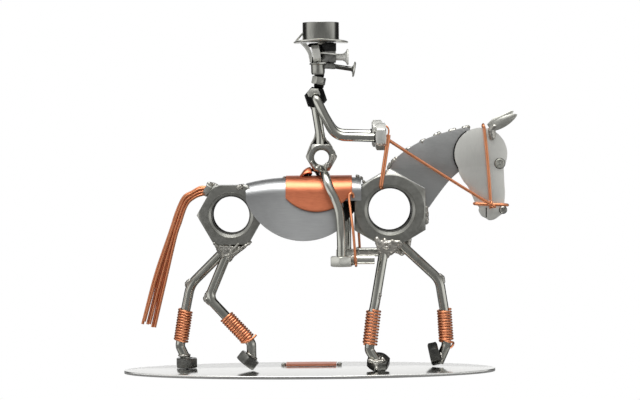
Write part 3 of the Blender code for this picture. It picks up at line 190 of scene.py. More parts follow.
# Copper: rolled sheet with a soft warm sheen, and brighter drawn wire
COPPER_SHEET = metal("rolled_copper_sheet", "#dc8662", "#cc7656", 0.40, 0.05, 0.8, (0.2, 1, 1),
                     0.003)
COPPER_WIRE = metal("drawn_copper_wire", "#e49a72", "#d88c64", 0.38, 0.03, 3.0)


# Shapes

def scene_object(name, mesh):
    obj = bpy.data.objects.new(name, mesh)
    bpy.context.scene.collection.objects.link(obj)
    return obj


def from_bmesh(name, bm):
    mesh = bpy.data.meshes.new(name)
    bm.to_mesh(mesh)
    bm.free()
    return scene_object(name, mesh)


def baked(obj, weld=0.0):
    """The object as it is evaluated, as a plain mesh at the origin."""
    bpy.context.view_layer.update()
    evaluated = obj.evaluated_get(bpy.context.evaluated_depsgraph_get())
    mesh = bpy.data.meshes.new_from_object(evaluated)
    mesh.transform(obj.matrix_world)
    if weld:
        bm = bmesh.new()
        bm.from_mesh(mesh)
        bmesh.ops.remove_doubles(bm, verts=bm.verts, dist=weld)
        bm.to_mesh(mesh)
        bm.free()
    name = obj.name
    bpy.data.objects.remove(obj)
    return scene_object(name, mesh)


def cut(obj, *others, operation="DIFFERENCE"):
    for other in others:
        modifier = obj.modifiers.new("cut", "BOOLEAN")
        modifier.operation = operation
        modifier.solver = "EXACT"
        modifier.object = other
        obj = baked(obj)
        bpy.data.objects.remove(other)
    return obj


def facing(obj, centre, axis=ALONG_Z, turn=0.0):
    """Moves a mesh made round +Z so that +Z follows the axis."""
    along = ALONG_Z.rotation_difference(Vector(axis).normalized())
    spin = Quaternion(ALONG_Z, turn)
    obj.data.transform(Matrix.Translation(centre) @ (along @ spin).to_matrix().to_4x4())
    return obj


def merged(name, objects):
    """Several meshes as one piece, each body kept as it is."""
    bm = bmesh.new()
    for obj in objects:
        bm.from_mesh(obj.data)
        bpy.data.objects.remove(obj)
    return from_bmesh(name, bm)


def edged(obj, width, angle=30, segments=2):
    """Breaks the sharp edges."""
    bevel = obj.modifiers.new("edge", "BEVEL")
    bevel.width = width
    bevel.segments = segments
    bevel.limit_method = "ANGLE"
    bevel.angle_limit = math.radians(angle)
    return baked(obj)


def piece(obj, name, material, slot, *nodes, smooth=35):
    """Finishes a piece: its name, metal, shading, body and the solids that it stands for."""
    obj.name = name
    obj.data.name = name
    if material:
        obj.data.materials.clear()
        obj.data.materials.append(material)
    obj.data.shade_smooth()
    obj.data.set_sharp_from_angle(angle=math.radians(smooth))
    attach(obj, "root")
    if nodes:
        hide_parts(*nodes)
    return obj


def turned(name, profile, sides=48):
    """A solid turned about Z from (radius, height) places that start and end on the axis."""
    bm = bmesh.new()
    rings = []
    for radius, height in profile:
        if radius <= 0:
            rings.append([bm.verts.new((0, 0, height))])
            continue
        rings.append([bm.verts.new((radius * math.cos(2 * math.pi * i / sides),
                                    radius * math.sin(2 * math.pi * i / sides), height))
                      for i in range(sides)])
    for upper, lower in zip(rings, rings[1:]):
        for i in range(sides):
            j = (i + 1) % sides
            corners = [upper[i % len(upper)], lower[i % len(lower)], lower[j % len(lower)],
                       upper[j % len(upper)]]
            bm.faces.new(list(dict.fromkeys(corners)))
    bmesh.ops.recalc_face_normals(bm, faces=bm.faces)
    return from_bmesh(name, bm)


def sheet(name, rows, thickness):
    """A closed sheet of even thickness from rows of places on its middle."""
    bm = bmesh.new()
    grid = [[bm.verts.new(place) for place in row] for row in rows]
    for first, second in zip(grid, grid[1:]):
        for corners in zip(first, second, second[1:], first[1:]):
            bm.faces.new(corners)
    bmesh.ops.recalc_face_normals(bm, faces=bm.faces)
    obj = from_bmesh(name, bm)
    solid = obj.modifiers.new("thickness", "SOLIDIFY")
    solid.thickness = thickness
    solid.offset = 0
    return baked(obj)


def disc(name, radius, half, sides=48):
    """A flat washer without its hole, from its radius and half its thickness in mm."""
    return turned(name, [(r * MM, h * MM) for r, h in
                         ((0, half), (radius, half), (radius, -half), (0, -half))], sides)


def second_metal(obj, material, chosen):
    """Gives another metal to the faces that a test chooses."""
    obj.data.materials.append(material)
    for face in obj.data.polygons:
        if chosen(face):
            face.material_index = 1


def hexagon(name, across, thickness):
    bm = bmesh.new()
    radius = across / math.sqrt(3)
    bmesh.ops.create_cone(bm, cap_ends=True, segments=6, radius1=radius, radius2=radius,
                          depth=thickness)
    bmesh.ops.rotate(bm, verts=bm.verts, matrix=Matrix.Rotation(math.radians(30), 3, "Z"))
    return from_bmesh(name, bm)


EDGE_BREAK = 0.22 * MM
DEEP_SINK = 2.0 * MM


def nut_drill(bore, half, sink, pitch, over):
    """The shape that a nut's bore takes away: countersunk mouths, and the thread's grooves."""
    inner = bore / 2
    end = half + over
    top = half - sink
    mouth = [(inner + sink + over, end)]
    if sink > DEEP_SINK:
        mouth = [(inner + sink, end), (inner + sink - 0.3 * MM, half - 1.0 * MM),
                 (inner + 0.9 * MM, half - 1.7 * MM), (inner + 0.6 * MM, top + 0.2 * MM)]
    profile = [(0, end), *mouth, (inner, top)]
    count = int(2 * top / pitch) if pitch else 0
    for turn in range(count):
        z = top - (turn + 0.5) * (2 * top / count)
        profile += [(inner + 0.5 * pitch, z), (inner, z - top / count)]
    if not count:
        profile.append((inner, -top))
    profile += [(radius, -height) for radius, height in reversed(mouth)] + [(0, -end)]
    return turned("drill", profile, 72)


def nut(name, across, bore, thickness, sink=0.0, pitch=0.0, chamfer=28, round_to=0.97):
    """A hex nut round Z with chamfered corners, its outer edges broken after it is drilled."""
    face = across / 2 * round_to
    corner = across / math.sqrt(3) * 1.05
    drop = (corner - face) * math.tan(math.radians(chamfer))
    half = thickness / 2
    over = 0.5 * MM
    profile = [(0, half + over), (face - over, half + over), (face, half), (corner, half - drop)]
    profile += [(radius, -height) for radius, height in reversed(profile)]
    body = cut(hexagon(name, across, thickness), turned("chamfer", profile, 96),
               operation="INTERSECT")
    if bore:
        body = cut(body, nut_drill(bore, half, sink, pitch, over))
    bm = bmesh.new()
    bm.from_mesh(body.data)
    beyond = bore / 2 + sink + 0.6 * MM
    sharp = [edge for edge in bm.edges
             if len(edge.link_faces) == 2 and edge.calc_face_angle() > math.radians(22)
             and min(math.hypot(v.co.x, v.co.y) for v in edge.verts) > beyond]
    bmesh.ops.bevel(bm, geom=sharp, offset=EDGE_BREAK, offset_type="OFFSET", segments=2,
                    profile=0.5, affect="EDGES", clamp_overlap=True)
    bm.to_mesh(body.data)
    bm.free()
    return body


def start_tree(name, **inputs):
    """A new geometry tree with its named inputs, each by its kind of socket."""
    tree = bpy.data.node_groups.new(name, "GeometryNodeTree")
    face = tree.interface
    kinds = {"Geometry": "Geometry", **inputs, "Metal": "Material"}
    for label, kind in kinds.items():
        face.new_socket(label, in_out="INPUT", socket_type="NodeSocket" + kind)
    face.new_socket("Geometry", in_out="OUTPUT", socket_type="NodeSocketGeometry")
    return tree, add(tree, "NodeGroupInput").outputs


def end_tree(tree, shape, metal_socket):
    """Closes a tree: its instances made real, and its metal set."""
    real = add(tree, "GeometryNodeRealizeInstances", {"Geometry": shape})
    done = add(tree, "GeometryNodeSetMaterial",
               {"Geometry": real.outputs["Geometry"], "Material": metal_socket})
    add(tree, "NodeGroupOutput", {"Geometry": done.outputs["Geometry"]})
    return tree


def swept(tree, line, diameter, sides):
    """The closed round bar that a tree draws along a line."""
    radius = add(tree, "ShaderNodeMath", {0: diameter, 1: 0.5}, operation="MULTIPLY")
    circle = add(tree, "GeometryNodeCurvePrimitiveCircle",
                 {"Resolution": sides, "Radius": radius.outputs[0]})
    bar_mesh = add(tree, "GeometryNodeCurveToMesh",
                   {"Curve": line, "Profile Curve": circle.outputs["Curve"], "Fill Caps": True})
    return bar_mesh.outputs["Mesh"]


def wire_tree():
    """Geometry nodes: a round bar or wire along each spline of a curve."""
    tree, given = start_tree("drawn_bar", Diameter="Float", Sides="Int")
    mesh = swept(tree, given["Geometry"], given["Diameter"], given["Sides"])
    return end_tree(tree, mesh, given["Metal"])


def coil_tree():
    """Geometry nodes: a wire wound round Z, each turn a little off true."""
    tree, given = start_tree("wound_wire", Turns="Float", Radius="Float", Height="Float",
                             Wire="Float", Wobble="Float", Seed="Float")
    spiral = add(tree, "GeometryNodeCurveSpiral",
                 {"Rotations": given["Turns"], "Start Radius": given["Radius"],
                  "End Radius": given["Radius"], "Height": given["Height"], "Resolution": 32})
    where = add(tree, "GeometryNodeInputPosition")
    shifted = add(tree, "ShaderNodeVectorMath",
                  {0: where.outputs["Position"], 1: given["Seed"]}, operation="ADD")
    wander = add(tree, "ShaderNodeTexNoise",
                 {"Vector": shifted.outputs["Vector"], "Scale": 260.0, "Detail": 0.0})
    centred = add(tree, "ShaderNodeVectorMath",
                  {0: wander.outputs["Color"], 1: (0.5, 0.5, 0.5)}, operation="SUBTRACT")
    scaled = add(tree, "ShaderNodeVectorMath",
                 {0: centred.outputs["Vector"], "Scale": given["Wobble"]}, operation="SCALE")
    moved = add(tree, "GeometryNodeSetPosition",
                {"Geometry": spiral.outputs["Curve"], "Offset": scaled.outputs["Vector"]})
    mesh = swept(tree, moved.outputs["Geometry"], given["Wire"], 12)
    return end_tree(tree, mesh, given["Metal"])


def bead_tree():
    """Geometry nodes: overlapping drops of weld metal along each spline, sized by its radius."""
    tree, given = start_tree("weld_run", Spacing="Float", Uneven="Float", Seed="Int")
    places = add(tree, "GeometryNodeResampleCurve",
                 {"Curve": given["Geometry"], "Length": given["Spacing"]}, mode="LENGTH")
    low = add(tree, "ShaderNodeMath", {0: 1.0, 1: given["Uneven"]}, operation="SUBTRACT")
    high = add(tree, "ShaderNodeMath", {0: 1.0, 1: given["Uneven"]}, operation="ADD")
    chance = add(tree, "FunctionNodeRandomValue",
                 {2: low.outputs[0], 3: high.outputs[0], "Seed": given["Seed"]},
                 data_type="FLOAT")
    radius = add(tree, "GeometryNodeInputRadius")
    size = add(tree, "ShaderNodeMath", {0: radius.outputs[0], 1: chance.outputs[1]},
               operation="MULTIPLY")
    drop = add(tree, "GeometryNodeMeshIcoSphere", {"Radius": 1.0, "Subdivisions": 3})
    drops = add(tree, "GeometryNodeInstanceOnPoints",
                {"Points": places.outputs["Curve"], "Instance": drop.outputs["Mesh"],
                 "Scale": size.outputs[0]})
    return end_tree(tree, drops.outputs["Instances"], given["Metal"])


WIRE_TREE = wire_tree()
COIL_TREE = coil_tree()
BEAD_TREE = bead_tree()


def grown(obj, tree, **inputs):
    """Runs a tree on the object with its named inputs, and keeps the result as a plain mesh."""
    modifier = obj.modifiers.new(tree.name, "NODES")
    modifier.node_group = tree
    for item in tree.interface.items_tree:
        if item.in_out == "INPUT" and item.name in inputs:
            modifier[item.identifier] = inputs[item.name]
    return baked(obj)


def spline_object(name, lines, radii=None):
    """A curve of straight splines through the lines' points, with a radius for each line."""
    curve = bpy.data.curves.new(name, "CURVE")
    curve.dimensions = "3D"
    for index, line in enumerate(lines):
        spline = curve.splines.new("POLY")
        spline.points.add(len(line) - 1)
        for point, place in zip(spline.points, line):
            point.co = (*place, 1)
            point.radius = radii[index] if radii else 1.0
    return scene_object(name, curve)


def bar(name, slot, lines, diameter, material, sides, *nodes):
    """A finished piece of round bar or wire along each line."""
    obj = grown(spline_object("bar", lines), WIRE_TREE, Diameter=diameter, Sides=sides,
                Metal=material)
    return piece(obj, name, None, slot, *nodes)


def smooth_line(points, steps=8):
    """A smooth line through the points."""
    line = []
    ends = [points[0] * 2 - points[1], *points, points[-1] * 2 - points[-2]]
    for before, start, end, after in zip(ends, ends[1:], ends[2:], ends[3:]):
        for step in range(steps):
            t = step / steps
            line.append(0.5 * (2 * start + (end - before) * t
                               + (2 * before - 5 * start + 4 * end - after) * t ** 2
                               + (3 * start - before - 3 * end + after) * t ** 3))
    line.append(points[-1])
    return line


def bent(points, radius, steps=10):
    """The line with each inner corner rounded to a bend."""
    line = [points[0]]
    for before, corner, after in zip(points, points[1:], points[2:]):
        back = before - corner
        ahead = after - corner
        reach = min(radius, back.length * 0.45, ahead.length * 0.45)
        start = corner + back.normalized() * reach
        end = corner + ahead.normalized() * reach
        for step in range(steps + 1):
            t = step / steps
            line.append(start.lerp(corner, t).lerp(corner.lerp(end, t), t))
    line.append(points[-1])
    return line


DROP_SPACING = 0.9 * MM


def weld(name, slot, runs, seed, *nodes, uneven=0.14, voxel=0.34, lumpy=0.22, settled=3,
         skin=None):
    """A finished piece of weld metal, from runs of (radius in mm, points).

    The drops along each run are fused, smoothed, and their skin is made lumpy.
    """
    lines = [points if len(points) > 1 else [points[0], points[0] + mm(0, 0, 0.4)]
             for _, points in runs]
    obj = spline_object("weld", lines, [radius * MM for radius, _ in runs])
    obj = grown(obj, BEAD_TREE, Spacing=DROP_SPACING, Uneven=uneven, Seed=seed, Metal=WELD_STEEL)
    fuse = obj.modifiers.new("fuse", "REMESH")
    fuse.mode = "VOXEL"
    fuse.voxel_size = voxel * MM
    settle = obj.modifiers.new("settle", "SMOOTH")
    settle.iterations = settled
    obj = baked(obj)
    for vert in obj.data.vertices:
        ripple = noise.noise(vert.co * 900 + Vector((seed, 0, 0)))
        ripple += 0.6 * noise.noise(vert.co * 2100 + Vector((0, seed, 0)))
        vert.co += vert.normal * ripple * lumpy * MM
    return piece(obj, name, skin or DARK_WELD, slot, *nodes)


def path(origin, *places):
    """Points at places in mm from an origin."""
    return [origin + mm(*place) for place in places]


def plate(name, outline, thickness, y=0.0, edge=0.25):
    """A flat plate in the XZ plane from an outline of (x, z) places, its edges broken."""
    curve = bpy.data.curves.new(name, "CURVE")
    curve.dimensions = "2D"
    curve.fill_mode = "BOTH"
    curve.extrude = thickness / 2
    spline = curve.splines.new("POLY")
    spline.points.add(len(outline) - 1)
    for point, (x, z) in zip(spline.points, outline):
        point.co = (x, z, 0, 1)
    spline.use_cyclic_u = True
    obj = scene_object(name, curve)
    obj.matrix_world = Matrix.Translation((0, y, 0)) @ Matrix.Rotation(math.pi / 2, 4, "X")
    obj = baked(obj, 0.001 * MM)
    return edged(obj, edge * MM, 50)


def block(centre, size):
    bm = bmesh.new()
    bmesh.ops.create_cube(bm, size=1)
    bmesh.ops.transform(bm, matrix=Matrix.Translation(centre) @ Matrix.Diagonal((*size, 1)),
                        verts=bm.verts)
    return from_bmesh("block", bm)


def guard(centre, across, thickness, axis, turn=0.0):
    """The room that a nut takes, a hair larger, for cutting sheet to fit it."""
    prism = hexagon("guard", across + 0.3 * MM, thickness + 0.3 * MM)
    return facing(prism, centre, axis, turn)


# The base and its plaque

def make_base():
    low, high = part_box("base_plate")
    size = Matrix.Diagonal((*(high - low), 1))
    bm = bmesh.new()
    bmesh.ops.create_cone(bm, cap_ends=True, segments=240, radius1=0.5, radius2=0.5, depth=1)
    bmesh.ops.transform(bm, matrix=Matrix.Translation((low + high) / 2) @ size, verts=bm.verts)
    base = edged(from_bmesh("base", bm), 0.35 * MM, 60, 3)
    piece(base, "oval_base", BASE_STEEL, "steel", "base_plate")


def make_plaque():
    low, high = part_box("plaque")
    plaque = edged(block((low + high) / 2, high - low), 0.2 * MM, 40)
    piece(plaque, "copper_plaque", COPPER_SHEET, "copper", "plaque")
    for side, node in ((-1, "plaque_tack_left"), (1, "plaque_tack_right")):
        centre = middle(node)
        centre.z = BASE_TOP + 0.3 * MM
        runs = [(1.25, path(centre, (-0.4, 0, 0), (0.5, 0.2, 0.1)))]
        weld(f"tack_weld_{node[12:]}", "bright_steel", runs, 3 + side, node)


# Horse: the two body nuts, barrel and saddle

def paint_bore_shade(obj, centre, across, thickness):
    """Paints shade on the thread and the ring round it, with the darker nut steel."""
    def within(face):
        away = face.center - centre
        return (abs(away.y) < thickness / 2 - 1.75 * MM
                and math.hypot(away.x, away.z) < 0.42 * across)
    second_metal(obj, DARK_NUT_AND_SHADE, within)


def make_body_nuts():
    rear = nut("rear", CROUP_AF, 23.6 * MM, CROUP_T, 2.8 * MM, 3.0 * MM, round_to=1.07)
    front = nut("front", CHEST_AF, 27.2 * MM, CHEST_T, 2.9 * MM, 3.5 * MM)
    for body, place, turn, label, across, thickness in (
            (rear, CROUP, 0.0, "croup", CROUP_AF, CROUP_T),
            (front, CHEST, POINT_UP, "chest", CHEST_AF, CHEST_T)):
        piece(facing(body, place, ALONG_Y, turn), f"{label}_hex_nut", NUT_STEEL, "steel",
              f"{label}_nut")
        # Painted shade in each bore's thread and round it.
        paint_bore_shade(body, place, across, thickness)


BARREL_T = 1.0 * MM
BARREL_HALF_LENGTH = 38.8 * MM
BARREL_DEPTH = 37.2 * MM
BARREL_CUT = 0.95
FOLD_DEPTH = 8.0 * MM
SPLAY = 0.29
SADDLE_T = 0.9 * MM
SADDLE_LENGTH = 42.4 * MM
SADDLE_FLAP_R = 26.7 * MM
BARREL_X = (CROUP.x + CHEST.x) / 2 - 4.2 * MM
RIDGE_Z = CROUP.z + CROUP_AF / 2 + 4.1 * MM
SADDLE_REAR = BARREL_X - 11.4 * MM
SADDLE_MIDDLE = SADDLE_REAR + 0.467 * SADDLE_LENGTH
SADDLE_LIFT = BARREL_T / 2 + 0.3 * MM + SADDLE_T / 2 + 0.05 * MM


def hull(x, reach):
    """A point of the near flank, by its distance round the sheet from the ridge."""
    behind = max(0.0, BARREL_X - 9 * MM - x)
    ahead = max(0.0, x - BARREL_X - 30 * MM)
    ridge = RIDGE_Z - 4.5 * behind ** 2 - 14 * ahead ** 2
    share = (x - (BARREL_X - BARREL_HALF_LENGTH)) / (2 * BARREL_HALF_LENGTH)
    wide = (CROUP_T + (CHEST_T - CROUP_T) * share) / 2 + 0.7 * MM + BARREL_T / 2
    quarter = FOLD_DEPTH * math.pi / 2
    angle = min(reach / quarter, 1.0) * math.pi / 2
    drop = FOLD_DEPTH * (1 - math.cos(angle)) + max(0.0, reach - quarter)
    station = min(1.0, abs(x - BARREL_X) / BARREL_HALF_LENGTH)
    lean = SPLAY * (1 - station ** 3)
    y = wide * math.sin(angle) + lean * drop ** 2 / (drop + FOLD_DEPTH)
    return Vector((x, -y, ridge - drop))


def lifted(x, reach, lift):
    step = 0.2 * MM
    along = hull(x + step, reach) - hull(x - step, reach)
    around = hull(x, reach + step) - hull(x, max(0.0, reach - step))
    return hull(x, reach) + along.cross(around).normalized() * -lift


def reach_at(x, z, lift=0.0):
    low = 0.0
    high = 2 * BARREL_DEPTH
    for _ in range(40):
        half = (low + high) / 2
        if lifted(x, half, lift).z > z:
            low = half
        else:
            high = half
    return low


def folded_sheet(name, stations, lower_edge, lift, thickness, rows):
    """A sheet folded over the back, from stations along X and the height of its lower edge."""
    columns = []
    for x in stations:
        end = reach_at(x, lower_edge(x), lift)
        near = [lifted(x, end * (i / rows) ** 0.9, lift) for i in range(rows + 1)]
        near[0].y = 0
        far = [Vector((place.x, -place.y, place.z)) for place in near[1:]]
        columns.append(near[::-1] + far)
    return sheet(name, columns, thickness)


def make_barrel():
    def edge(x):
        across = min(1.0, abs(x - BARREL_X) / BARREL_HALF_LENGTH)
        return RIDGE_Z - 2.2 * MM - BARREL_DEPTH * math.sqrt(1 - across ** 2)
    count = 48
    stations = [BARREL_X - BARREL_CUT * BARREL_HALF_LENGTH * math.cos(math.pi * i / count)
                for i in range(count + 1)]
    barrel = folded_sheet("barrel", stations, edge, 0.0, BARREL_T, 26)
    barrel = cut(barrel, guard(CROUP, CROUP_AF, CROUP_T, ALONG_Y),
                 guard(CHEST, CHEST_AF, CHEST_T, ALONG_Y, POINT_UP))
    corner = block(HIP + mm(25.6, -16.0, -47.5), (24 * MM, 28 * MM, 40 * MM))
    barrel = cut(barrel, corner)
    piece(barrel, "barrel_folded_sheet", SHEET_STEEL, "steel", "barrel_sheet", smooth=40)

    # The flanks' inner faces get the black steel: painted shade inside the barrel.
    def inside(face):
        return (face.normal.y * face.center.y < 0 and abs(face.center.y) > 1.0 * MM
                and abs(face.normal.y) > 0.5)
    second_metal(barrel, BLACK_STEEL_AND_SHADE, inside)


def make_saddle():
    def edge(x):
        return RIDGE_Z + 5.6 * MM - math.sqrt(SADDLE_FLAP_R ** 2 - (x - SADDLE_MIDDLE) ** 2)
    count = 30
    stations = [SADDLE_REAR + SADDLE_LENGTH * i / count for i in range(count + 1)]
    saddle = folded_sheet("saddle", stations, edge, SADDLE_LIFT, SADDLE_T, 18)
    saddle = edged(saddle, 0.15 * MM, 50)
    top = RIDGE_Z + SADDLE_LIFT
    line = smooth_line([Vector((x, 0, z)) * MM for x, z in
                        ((-5.0, 0.2), (-3.9, 1.6), (-2.4, 3.6), (-0.4, 5.0), (1.8, 5.6))], 5)
    rows = []
    for index, place in enumerate(line):
        share = index / (len(line) - 1)
        half = (5.4 - 1.6 * share ** 2) * MM
        droop = (0.3 + 3.4 * share) * MM
        rows.append([(place.x + 0.6 * MM * share * (j / 4) ** 2, half * j / 4,
                      top + place.z - droop * (j / 4) ** 2) for j in range(-4, 5)])
    cantle = edged(sheet("cantle", rows, SADDLE_T), 0.15 * MM, 50)
    # Black weld metal under the hip nut and behind the cantle: painted shadow.
    runs = [(1.15, path(HIP, (-10.6, 0, -10.6), (-7.0, 0, -10.4))),
            (1.2, smooth_line(path(HIP, (-8.8, 0, -9.2), (-6.0, 0, -7.9), (-3.6, 0, -8.4)), 4)),
            (1.3, smooth_line(path(HIP, (-3.2, 0, -8.6), (-2.6, 0, -10.4), (-0.4, 0, -10.6)), 4))]
    weld("seat_painted_shadow_weld", "copper", runs, 66, skin=BLACK_STEEL_AND_SHADE)
    piece(merged("saddle", [saddle, cantle]), "saddle_folded_copper", COPPER_SHEET, "copper",
          "saddle", smooth=40)


# Neck and head

def from_chest(x, z, y=0.0):
    return CHEST + mm(x, y, z)


CREST = [(0.4, 23.0), (1.6, 29.8), (9.8, 37.2), (18.9, 42.8), (28.0, 46.7), (38.2, 49.8),
         (49.9, 52.6)]
THROAT = [(54.6, 49.0), (56.4, 40.0), (52.0, 30.0), (42.3, 21.6), (37.2, 16.5), (30.7, 8.2),
          (25.6, 1.1)]
MANE = ((3.4, 31.9), (11.9, 38.6), (21.6, 43.7), (30.9, 48.1), (40.9, 50.6), (49.6, 52.4))
NECK_T = 3.0 * MM
HEAD_T = 2.5 * MM
HEAD_Y = middle("head_plate").y
HEAD_DISC_R = 16.9 * MM
HEAD_CENTRE = from_chest(58.8, 35.1)


def make_neck():
    """The neck's plate, the spacer that carries the head plate, and the mane's weld beads."""
    crest = smooth_line([from_chest(x, z) for x, z in CREST], 6)
    throat = smooth_line([from_chest(x, z) for x, z in THROAT], 6)
    outline = [(p.x, p.z) for p in crest + throat]
    outline += [(from_chest(x, z).x, from_chest(x, z).z) for x, z in ((20.0, -2.0), (-2.0, 12.0))]
    neck = plate("neck", outline, NECK_T)
    neck = cut(neck, guard(CHEST, CHEST_AF, CHEST_T, ALONG_Y, POINT_UP))
    spacer = facing(disc("spacer", 4, 0.9, 32),
                    HEAD_CENTRE + Vector((-10 * MM, -NECK_T / 2 - 0.3 * MM, 0)), ALONG_Y)
    neck = merged("neck", [neck, spacer])
    piece(neck, "neck_cut_plate", NECK_STEEL, "steel", "neck_plate")
    runs = []
    for index, (x, z) in enumerate(MANE):
        tilt = math.radians(38 - 5 * index)
        along = Vector((math.cos(tilt), 0, math.sin(tilt)))
        spot = from_chest(x, z) - Vector((-along.z, 0, along.x)) * 0.5 * MM
        runs.append((1.55, [spot - along * 1.5 * MM, spot + along * 1.2 * MM]))
    weld("mane_weld_beads", "steel", runs, 5)
    side = CHEST_AF / 2 + 0.6 * MM
    seam = [(1.7, [CHEST + Vector((side, y * MM, z * MM)) for z in (-8.5, -4.0, 0.5)])
            for y in (-1.4, 1.4)]
    seam += [(1.1, [from_chest(-0.6, 26.5, y), from_chest(0.6, 29.0, y)]) for y in (-1.5, 1.5)]
    weld("neck_root_weld", "steel", seam, 8)


MUZZLE = [(14.7, -12.0), (14.9, -18.0), (15.3, -25.0), (14.9, -32.9), (16.4, -35.6),
          (15.8, -37.4), (13.2, -38.8), (8.6, -42.0), (5.2, -42.6), (3.0, -41.4), (0.2, -39.8),
          (-1.6, -36.4), (-1.4, -34.2), (-3.4, -32.1), (-5.7, -26.9), (-8.2, -21.3),
          (-11.4, -17.2), (-14.0, -12.5)]


def from_head(x, z, y=0.0):
    return HEAD_CENTRE + mm(x, y, z)


def make_head():
    """The head's plate with its mouth and the painted shade in it, a black bar behind its rim as
    painted shadow, and the riveted eyes.
    """
    start = math.degrees(math.asin(-8.6 * MM / HEAD_DISC_R))
    outline = []
    for step in range(73):
        angle = math.radians(180 - start + (2 * start - 180) * step / 72)
        outline.append((HEAD_CENTRE.x + HEAD_DISC_R * math.cos(angle),
                        HEAD_CENTRE.z + HEAD_DISC_R * math.sin(angle)))
    muzzle = smooth_line([from_head(x, z) for x, z in MUZZLE], 4)
    outline += [(p.x, p.z) for p in muzzle]
    head = plate("head", outline, HEAD_T, HEAD_Y)
    for _, side in SIDES:
        mouth = from_head(3.2, -39.0) + Vector((0, HEAD_Y + side * HEAD_T / 2, 0))
        head = cut(head, block(mouth, (0.7 * MM, 1.8 * MM, 10 * MM)))
        # A black block in each mouth slit: painted shade.
        depth = Vector((0, side * 0.55 * MM, -1.4 * MM))
        line = block(mouth - depth, (0.66 * MM, 1.0 * MM, 6.0 * MM))
        piece(line, f"mouth_slit_shade_{'near' if side < 0 else 'far'}", BLACK_STEEL_AND_SHADE, "bright_steel")
    piece(head, "head_cut_plate", PLATE_STEEL, "bright_steel", "head_plate")
    # A black bar round the rim behind the head plate: painted shadow of the gap between head and
    # neck.
    seam = [HEAD_CENTRE + Vector((HEAD_DISC_R * 1.012 * math.cos(a),
                                  HEAD_Y + HEAD_T / 2 + 0.3 * MM,
                                  HEAD_DISC_R * 1.012 * math.sin(a)))
            for a in (math.radians(122 + 4 * i) for i in range(26))]
    bar("head_shadow_gap_bar", "bright_steel", [seam], 1.1 * MM, BLACK_STEEL_AND_SHADE, 12)
    for node, profile in (("eye", ((0.0, 0.5), (0.26, 0.46), (0.34, 0.3), (0.62, 0.34),
                                   (0.72, 0.5),
                                   (0.9, 0.46), (1.0, 0.3), (1.0, 0.0))),
                          ("nostril", ((0.0, 0.34), (0.3, 0.32), (0.42, 0.44), (0.78, 0.5),
                                       (1.0, 0.3), (1.0, 0.0)))):
        for label, side in SIDES:
            radius = span(f"{node}_{label}").x / 2
            places = [(r * radius, h * radius) for r, h in profile] + [(0, 0)]
            centre = middle(f"{node}_{label}")
            centre.y = HEAD_Y + side * (HEAD_T / 2 + 0.05 * MM)
            rivet = facing(turned(node, places, 48), centre, (0, side, 0))
            piece(rivet, f"{node}_rivet_{label}", BRIGHT_STEEL if node == "eye" else NUT_STEEL,
                  "bright_steel", f"{node}_{label}")
            # A black disc a little wider under each rivet: painted shadow ring round it.
            rim = radius + 0.35 * MM
            shadow_ring = turned("shadow_ring", [(0, 0.12 * MM), (rim, 0.12 * MM), (rim, -0.1 * MM),
                                   (0, -0.1 * MM)])
            piece(facing(shadow_ring, centre, (0, side, 0)), f"{node}_seat_{label}", BLACK_STEEL_AND_SHADE,
                  "bright_steel")


def make_ears():
    """Each ear is a cupped leaf of thin sheet on a weld at the poll."""
    for label, side, root, tip in (("near", -1, (6.2, 16.2), (22.9, 25.1)),
                                   ("far", 1, (5.4, 17.2), (21.4, 27.3))):
        face = HEAD_Y + side * (HEAD_T / 2 + 0.3 * MM)
        start = from_head(*root) + Vector((0, face + side * 1.6 * MM, 0))
        end = from_head(*tip) + Vector((0, face + side * 3.4 * MM, 0))
        along = end - start
        across = along.normalized().cross(ALONG_Y).normalized()
        outward = along.normalized().cross(across).normalized()
        rows = []
        for i in range(25):
            t = i / 24
            width = 3.0 * math.sin(math.pi * min(1, 0.16 + t * 0.84)) ** 0.7 + 0.15
            row = []
            for j in range(-6, 7):
                w = j / 6
                cup = 0.9 * (1 - w * w) * math.sin(math.pi * t)
                row.append(start + along * t + across * w * width * MM + outward * cup * MM)
            rows.append(row)
        piece(sheet("ear", rows, 0.7 * MM), f"ear_leaf_{label}", BRIGHT_STEEL, "bright_steel",
              f"ear_{label}", smooth=40)
        low = from_head(7.2, 10.6) + Vector((0, face + side * 0.4 * MM, 0))
        spot = from_head(6.4, 15.6) + Vector((0, face + side * 0.9 * MM, 0))
        high = from_head(8.6, 17.6) + Vector((0, face + side * 1.8 * MM, 0))
        runs = [(1.75, [low, spot]), (1.5, [spot, high]),
                (1.2, [low + mm(1.4, 0, 1.0), spot + mm(1.9, 0, -1.2)])]
        weld(f"ear_weld_{label}", "bright_steel", runs, 11 + side)


# Legs

LEGS = {
    # name: side, upper points, the wrap's ends and the foot, as x from the nut and height
    "hind_far": (1, [(4.6, 88.0), (-6.7, 75.1), (-27.4, 54.6)],
                 [(-31.0, 37.9), (-34.2, 18.0)], [(-34.9, 14.4), (-30.6, 5.0)]),
    "hind_near": (-1, [(-0.6, 88.0), (-3.3, 74.1), (-14.6, 47.1)],
                  [(-3.4, 35.1), (10.3, 20.5)], [(12.4, 17.9), (12.6, 5.5)]),
    "fore_near": (-1, [(-1.6, 92.0), (-4.6, 73.4), (-10.1, 42.5)],
                  [(-10.9, 38.8), (-13.6, 16.6)], [(-14.0, 13.4), (-9.2, 5.5)]),
    "fore_far": (1, [(1.0, 88.0), (9.5, 77.8), (32.2, 56.6)],
                 [(35.3, 37.1), (36.5, 16.8)], [(36.5, 13.6), (31.6, 2.5)]),
}
HOOVES = {
    "hind_far": (Vector((0, 0, 1)), math.radians(37)),
    "hind_near": (Vector((0.62, 0, 0.78)), math.radians(24)),
    "fore_near": (Vector((0.05, -0.5, 0.866)), math.radians(10)),
    "fore_far": (Vector((0.98, 0, 0.21)), 0.0),
}


